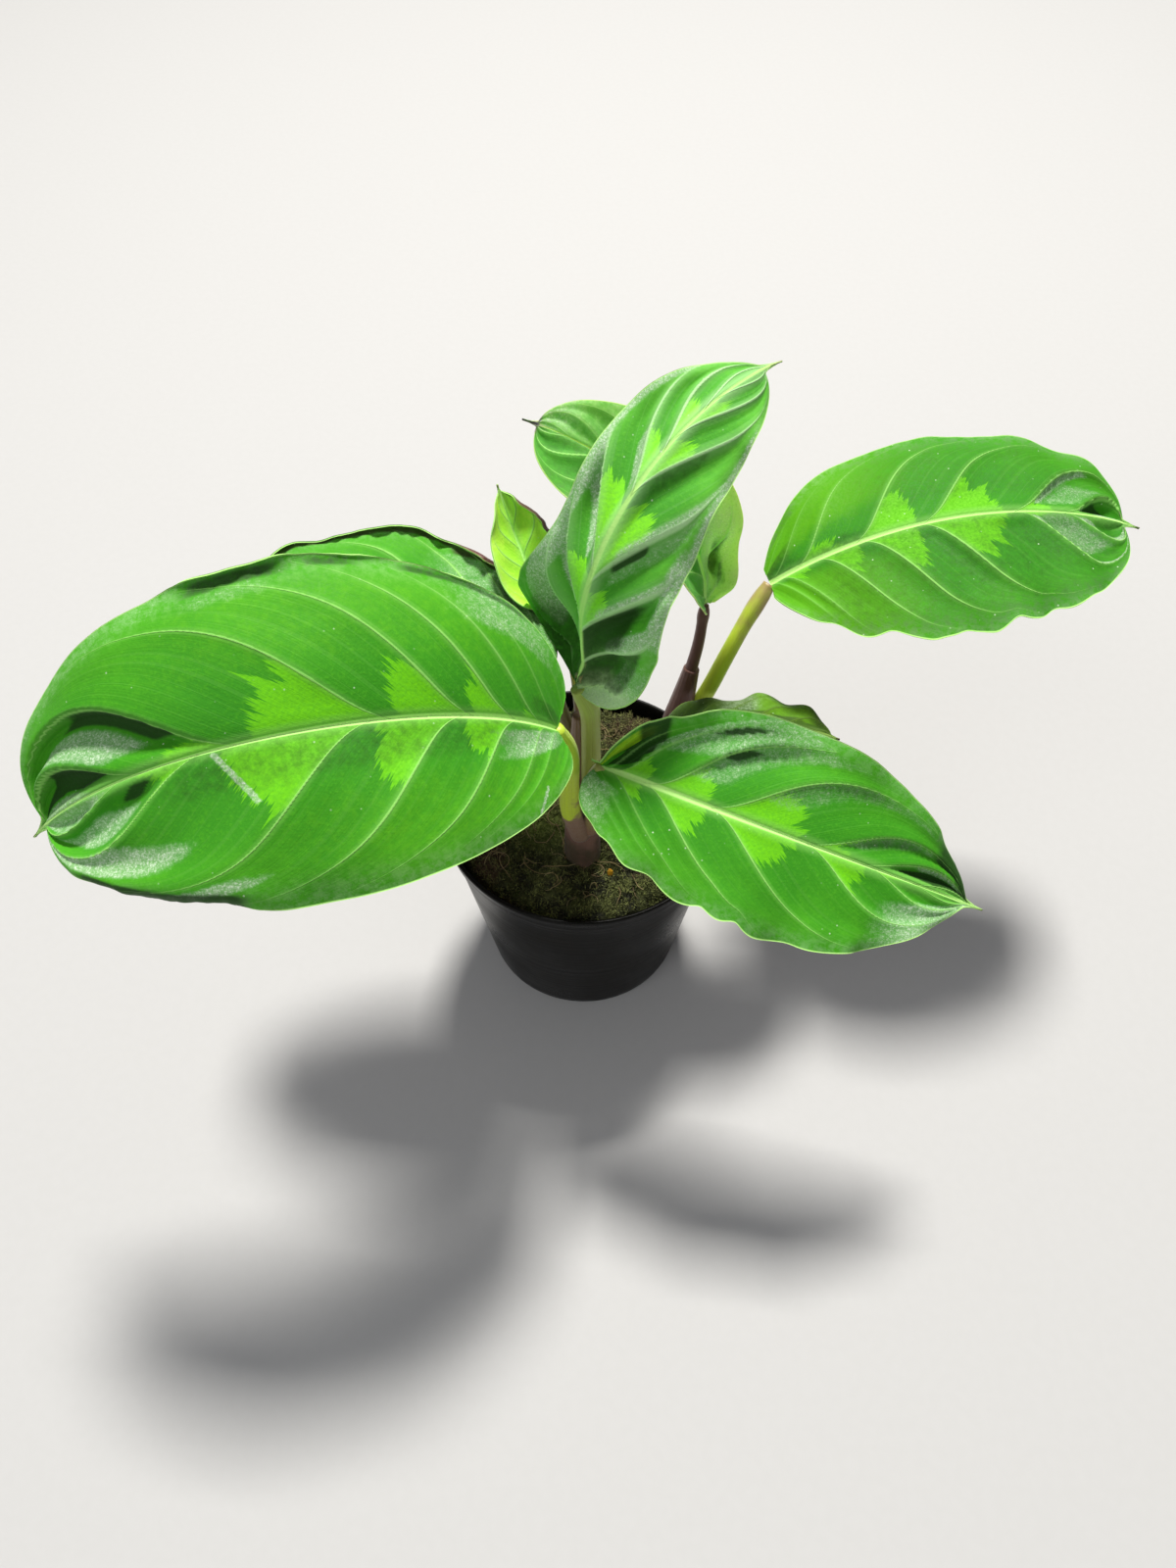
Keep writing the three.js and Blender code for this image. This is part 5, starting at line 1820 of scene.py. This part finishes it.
@dataclass
class Moss:
    """The moss mat over the soil: low cushions with a nap of tiny leafy shoots."""

    finish: Material
    rings: int = 70
    sectors: int = 220
    cushions: int = 34
    height: Pair = (1.3, 3.2)
    reach: Pair = (6.0, 11.0)
    seed: int = 11
    tufts: int = 11000
    tuft_leaves: int = 4
    tuft_lean: Pair = (0.3, 1.1)
    tuft_size: Pair = (0.9, 2.0)
    tuft_half_width: float = 0.16
    gap: float = 0.6

    @property
    def outer(self) -> float:
        """The mat's outer radius."""
        return NurseryPot.wall_radius(SOIL_TOP) - POT_WALL - self.gap

    def cushion_list(self) -> Array:
        """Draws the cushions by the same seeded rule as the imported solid.

        Returns:
            Rows of x, y, reach and height.
        """
        state, rows = self.seed, []
        for _ in range(self.cushions):
            draws = []
            for _ in range(4):
                state = (state * 1664525 + 1013904223) % 4294967296
                draws.append(state / 4294967296)
            radius, angle = self.outer * math.sqrt(draws[0]), 2 * math.pi * draws[1]
            rows.append((radius * math.cos(angle), radius * math.sin(angle),
                         self.reach[0] + (self.reach[1] - self.reach[0]) * draws[2],
                         self.height[0] + (self.height[1] - self.height[0]) * draws[3]))
        return np.array(rows)

    def top_at(self, x: Array, y: Array) -> Array:
        """Gives the mat's height over the pot's base.

        Args:
            x: Places to the right.
            y: Places away from the viewer.

        Returns:
            The height at each place.
        """
        top = np.full(x.shape, MOSS_TOP)
        for cx, cy, reach, height in self.cushion_list():
            away = np.hypot(x - cx, y - cy) / reach
            dome = np.where(away < 1, MOSS_TOP + height * np.sqrt(np.clip(1 - away ** 2, 0, 1)), MOSS_TOP)
            top = np.maximum(top, dome)
        for (sx, sy), height in SHOOT_MOUNDS.items():
            top = top + height * np.exp(-(np.hypot(x - sx, y - sy) / MOUND_REACH) ** 2)
        place = np.stack([x, y, 0 * x], -1)
        lumps = 0.7 * value_noise(place, 3.0, 21) + 0.45 * value_noise(place, 1.3, 22)
        return top - 0.7 + lumps

    def build(self) -> Piece:
        """Makes the mat and its nap of shoots in one mesh.

        Returns:
            The mat.
        """
        radius = self.outer * np.linspace(0.01, 1, self.rings)[:, None]
        angle = np.linspace(0, 2 * np.pi, self.sectors, endpoint=False)[None, :]
        x, y = radius * np.cos(angle), radius * np.sin(angle)
        drop = smoothstep(radius / self.outer + 0 * x, 0.94, 1.0)
        top = self.top_at(x, y) * (1 - drop) + (MOSS_TOP - 1.8) * drop
        skirt = np.stack([x[-1], y[-1], 0 * x[-1] + SOIL_TOP + 0.3], -1)[None]
        grid = np.concatenate([np.stack([x, y, top], -1), skirt])
        quads = squares(ring_numbers(*grid.shape[:2]), turned=True)
        spots = np.stack([0 * x, 0 * x, self.lushness(x, y)], -1)
        spots = np.concatenate([spots, spots[-1:]]).reshape(-1, 3)
        data = MeshData()
        data.add(grid, quads, corners={"litter_at": spots[quads]})
        self.add_tufts(data)
        return settle(data.build("moss_mat", [self.finish]), "moss", "moss")

    @staticmethod
    def lushness(x: Array, y: Array) -> Array:
        """Says how green the mat is at each place; it is greenest to the left of the front shoot."""
        away = np.hypot(x - LUSH_SPOT[0], (y - LUSH_SPOT[1]) * 1.4) / LUSH_REACH
        return np.clip(1.1 - away, 0.0, 1.0)

    def add_tufts(self, data: MeshData) -> None:
        """Adds the tiny shoots, each a spray of narrow leaves.

        Args:
            data: The mesh in the making.
        """
        draw = np.random.default_rng(self.seed)
        radius = self.outer * 0.985 * np.sqrt(draw.random(self.tufts))
        angle = 2 * np.pi * draw.random(self.tufts)
        x, y = radius * np.cos(angle), radius * np.sin(angle)
        foot = np.stack([x, y, self.top_at(x, y) - 0.3], -1)
        tone, green = draw.random(self.tufts), self.lushness(x, y)
        rise = np.array([0.0, 0.0, 0.5, 0.5, 1.0])
        values = np.broadcast_arrays(tone[:, None], rise[None, :], green[:, None])
        values = np.stack(values, -1).reshape(-1, 3)
        start = np.arange(self.tufts)[:, None] * 5
        flat, point = start + np.array([[0, 1, 2, 3]]), start + np.array([[3, 2, 4]])
        for leaf in range(self.tuft_leaves):
            turn = 2 * np.pi * (leaf / self.tuft_leaves + draw.random(self.tufts))
            lean = draw.uniform(*self.tuft_lean, self.tufts)
            size = draw.uniform(*self.tuft_size, self.tufts)
            away = np.stack([np.cos(turn), np.sin(turn), 0 * turn], -1)
            wide = np.stack([-np.sin(turn), np.cos(turn), 0 * turn], -1) * self.tuft_half_width
            middle = foot + away * (size * 0.45 * lean)[:, None] + [0, 0, 1] * (size * 0.6)[:, None]
            end = foot + away * (size * lean)[:, None] + [0, 0, 1] * (size * 0.85)[:, None]
            places = np.stack([foot - wide, foot + wide, middle + wide, middle - wide, end], 1)
            first = data.add(places, flat, corners={"litter_at": values[flat]})
            data.add_faces(point + first, corners={"litter_at": values[point]})


@dataclass
class Litter:
    """Dry strands that curl over the moss, and one fallen yellow flake."""

    moss: Moss
    strands: int = 150
    length: Pair = (4.0, 16.0)
    thickness: Pair = (0.1, 0.2)
    arch: Pair = (0.4, 2.6)
    curl: float = 0.7
    wander: float = 0.45
    spread: float = 42.0
    edge: float = 44.0
    steps: int = 7
    flake: Pair = (9.3, -29.5)
    seed: int = 29

    def build(self) -> Piece:
        """Makes the strands and the flake in one mesh.

        Returns:
            The litter.
        """
        draw = np.random.default_rng(self.seed)
        data = MeshData()
        for _ in range(self.strands):
            self.add_strand(data, draw)
        self.add_flake(data)
        straw = StemFinish("straw_strand", (0.2, 0.13, 0.05), (0.33, 0.25, 0.1), (0.46, 0.38, 0.17))
        flake = StemFinish("yellow_flake", (0.75, 0.36, 0.012), (0.8, 0.42, 0.015), (0.6, 0.25, 0.01))
        return settle(data.build("moss_litter", [straw.build(), flake.build()]), "moss")

    def ground(self, x: float, y: float) -> float:
        """Reads the mat's height at one place."""
        return float(self.moss.top_at(np.array([x]), np.array([y]))[0])

    def add_strand(self, data: MeshData, draw: np.random.Generator) -> None:
        """Adds one strand, which wanders over the mat and arches a little above it.

        Args:
            data: The mesh in the making.
            draw: The seeded source of chance.
        """
        radius, angle = self.spread * math.sqrt(draw.random()), 2 * math.pi * draw.random()
        heading, turn = 2 * math.pi * draw.random(), draw.uniform(-self.curl, self.curl)
        arch = draw.uniform(*self.arch)
        stride = draw.uniform(*self.length) / self.steps
        x, y, spots = radius * math.cos(angle), radius * math.sin(angle), []
        for step in range(self.steps + 1):
            if math.hypot(x, y) > self.edge:
                break
            spots.append((x, y, self.ground(x, y) + 0.5 + arch * math.sin(math.pi * step / self.steps)))
            heading += turn + draw.uniform(-self.wander, self.wander)
            x, y = x + stride * math.cos(heading), y + stride * math.sin(heading)
        if len(spots) < 4:
            return
        thick = draw.uniform(*self.thickness)
        tube = Tube(spots, (thick, 0.6 * thick), steps=18, sides=6)
        tube.add_to(data, *tube.rings())

    def add_flake(self, data: MeshData) -> None:
        """Adds the flake as a small curled petal that stands in the moss.

        Args:
            data: The mesh in the making.
        """
        x, y = self.flake
        ground = self.ground(x, y)
        path = ((x, y, ground - 0.5), (x + 0.3, y + 0.4, ground + 1.2), (x, y + 1.1, ground + 3.0))
        tube = Tube(path, (0.5, 1.0, 1.1, 0.3), steps=16, sides=14)
        rings, at = tube.rings()
        middle = rings.mean(axis=1, keepdims=True)
        tube.add_to(data, middle + (rings - middle) * [1.0, 0.3, 1.0], at, 1)


@dataclass
class Studio:
    """Plain pale floor, soft light from behind above, and the camera at the photographed angle.

    Each lamp has its place, the length of its side, its power in watts and its colour.
    """

    lens: float = 27.0
    sensor: float = 36.0
    pitch: float = 53.5
    place: Triple = (1.7, -251.0, 436.0)
    lamps: dict[str, tuple[Triple, float, float, Colour]] = field(default_factory=lambda: {
        "key": ((120.0, 1060.0, 2500.0), 460.0, 96.0, (1.0, 0.98, 0.94)),
        "fill": ((-700.0, -900.0, 1300.0), 1200.0, 6.5, (0.96, 0.98, 1.0)),
    })
    aim: Triple = (20.0, 0.0, 150.0)
    room_colour: Colour = (0.93, 0.95, 1.0)
    room_light: float = 0.2
    floor_colour: Colour = (0.56, 0.555, 0.545)
    floor_shade: Colour = (0.5, 0.495, 0.48)
    floor_reach: float = 4000.0
    floor_squares: int = 16

    def build(self) -> None:
        """Makes the floor, the lights and the camera."""
        self.build_floor()
        for name, lamp in self.lamps.items():
            self.build_light(name, *lamp)
        world = bpy.data.worlds.new("soft_room")
        world.use_nodes = True
        back = world.node_tree.nodes["Background"]
        Graph(world.node_tree).fill(back, {"Color": self.room_colour, "Strength": self.room_light})
        bpy.context.scene.world = world
        bpy.context.scene.view_settings.view_transform = "Standard"
        self.build_camera()

    def build_floor(self) -> None:
        """Makes a wide pale sheet with a faint grain."""
        material, graph, shader = new_material("pale_floor")
        grain = graph.ease(graph.noise(graph.object_place(), 260.0, 3.0), 0.3, 0.7, 0.0, 0.12)
        colour = graph.layers(self.floor_colour, (grain, self.floor_shade))
        graph.fill(shader, {"Base Color": colour, "Roughness": 0.8})
        line = np.linspace(-self.floor_reach, self.floor_reach, self.floor_squares + 1)
        x, y = np.meshgrid(line, line, indexing="ij")
        data = MeshData()
        data.add(np.stack([x, y, 0 * x], -1), squares(np.arange(x.size).reshape(x.shape), turned=True))
        data.build("floor", [material])

    def build_light(self, name: str, place: Triple, size: float, power: float, colour: Colour) -> None:
        """Makes one square light aimed at the leaves.

        Args:
            name: The light's name.
            place: Where it hangs.
            size: The length of its side.
            power: Its power in watts.
            colour: Its colour.
        """
        data = bpy.data.lights.new(name, "AREA")
        data.shape = "SQUARE"
        data.size = size * METRE
        data.energy = power
        data.color = colour
        lamp = bpy.data.objects.new(name, data)
        lamp.location = Vector(place) * METRE
        lamp.rotation_euler = (Vector(self.aim) * METRE - lamp.location).to_track_quat("-Z", "Y").to_euler()
        bpy.context.scene.collection.objects.link(lamp)

    def build_camera(self) -> None:
        """Makes the camera and hands it to the scene."""
        data = bpy.data.cameras.new("camera")
        data.lens = self.lens
        data.sensor_width = self.sensor
        data.clip_start = 0.01
        camera = bpy.data.objects.new("camera", data)
        camera.location = Vector(self.place) * METRE
        camera.rotation_euler = (math.radians(90 - self.pitch), 0.0, 0.0)
        bpy.context.scene.collection.objects.link(camera)
        bpy.context.scene.camera = camera


def dress_soil() -> None:
    """Gives the packed soil its crumbly finish."""
    finish = LitterFinish("crumbly_soil", (0.012, 0.008, 0.005), (0.045, 0.03, 0.018), (0.09, 0.065, 0.04))
    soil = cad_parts["soil"]
    soil.data.materials.clear()
    soil.data.materials.append(finish.build())


def build_plant() -> None:
    """Builds each part of the plant in order."""
    stalks = {name: StemFinish(f"satin_stalk_{name}", *looks).build() for name, looks in STALKS.items()}
    # The front sheath's mauve is partly painted light: lighter than its own colour, for the shade it stands
    # in below the leaves
    front_sheath = StemFinish("mauve_sheath", (0.11, 0.08, 0.045), (0.25, 0.135, 0.1), (0.22, 0.13, 0.07),
                              turning=(0.2, 0.4))
    rear_sheath = StemFinish("brown_sheath", (0.11, 0.055, 0.04), (0.13, 0.058, 0.044), (0.15, 0.07, 0.05))
    moss = LitterFinish("living_moss", (0.016, 0.018, 0.005), (0.075, 0.09, 0.018), (0.1, 0.065, 0.03),
                        tip=(0.34, 0.38, 0.11), lush=(0.15, 0.22, 0.03))
    NurseryPot(PotFinish().build()).build()
    dress_soil()
    mat = Moss(moss.build())
    mat.build()
    Litter(mat).build()
    front = ((0, -21, 66), (-0.3, -19.5, 100), (-0.8, -16, 130), (-1.2, -13, 151))
    rear = ((28, 18, 66), (32, 23, 90), (36, 28, 110), (38.6, 31.2, 124))
    Shoot("front", front, (6.6, 6.2, 5.0, 2.2), front_sheath.build()).build()
    Shoot("rear", rear, (6.2, 6.0, 5.0, 3.0), rear_sheath.build()).build()
    for name, shape in LEAVES.items():
        Stalk(name, shape, stalks[name]).build()
        Blade(name, shape).build()


def main() -> None:
    """Builds the stage and the plant; each piece logs its face count as it is made."""
    logging.basicConfig(level=logging.INFO, format="%(name)s %(message)s")
    Studio().build()
    build_plant()


if __name__ == "__main__":
    main()
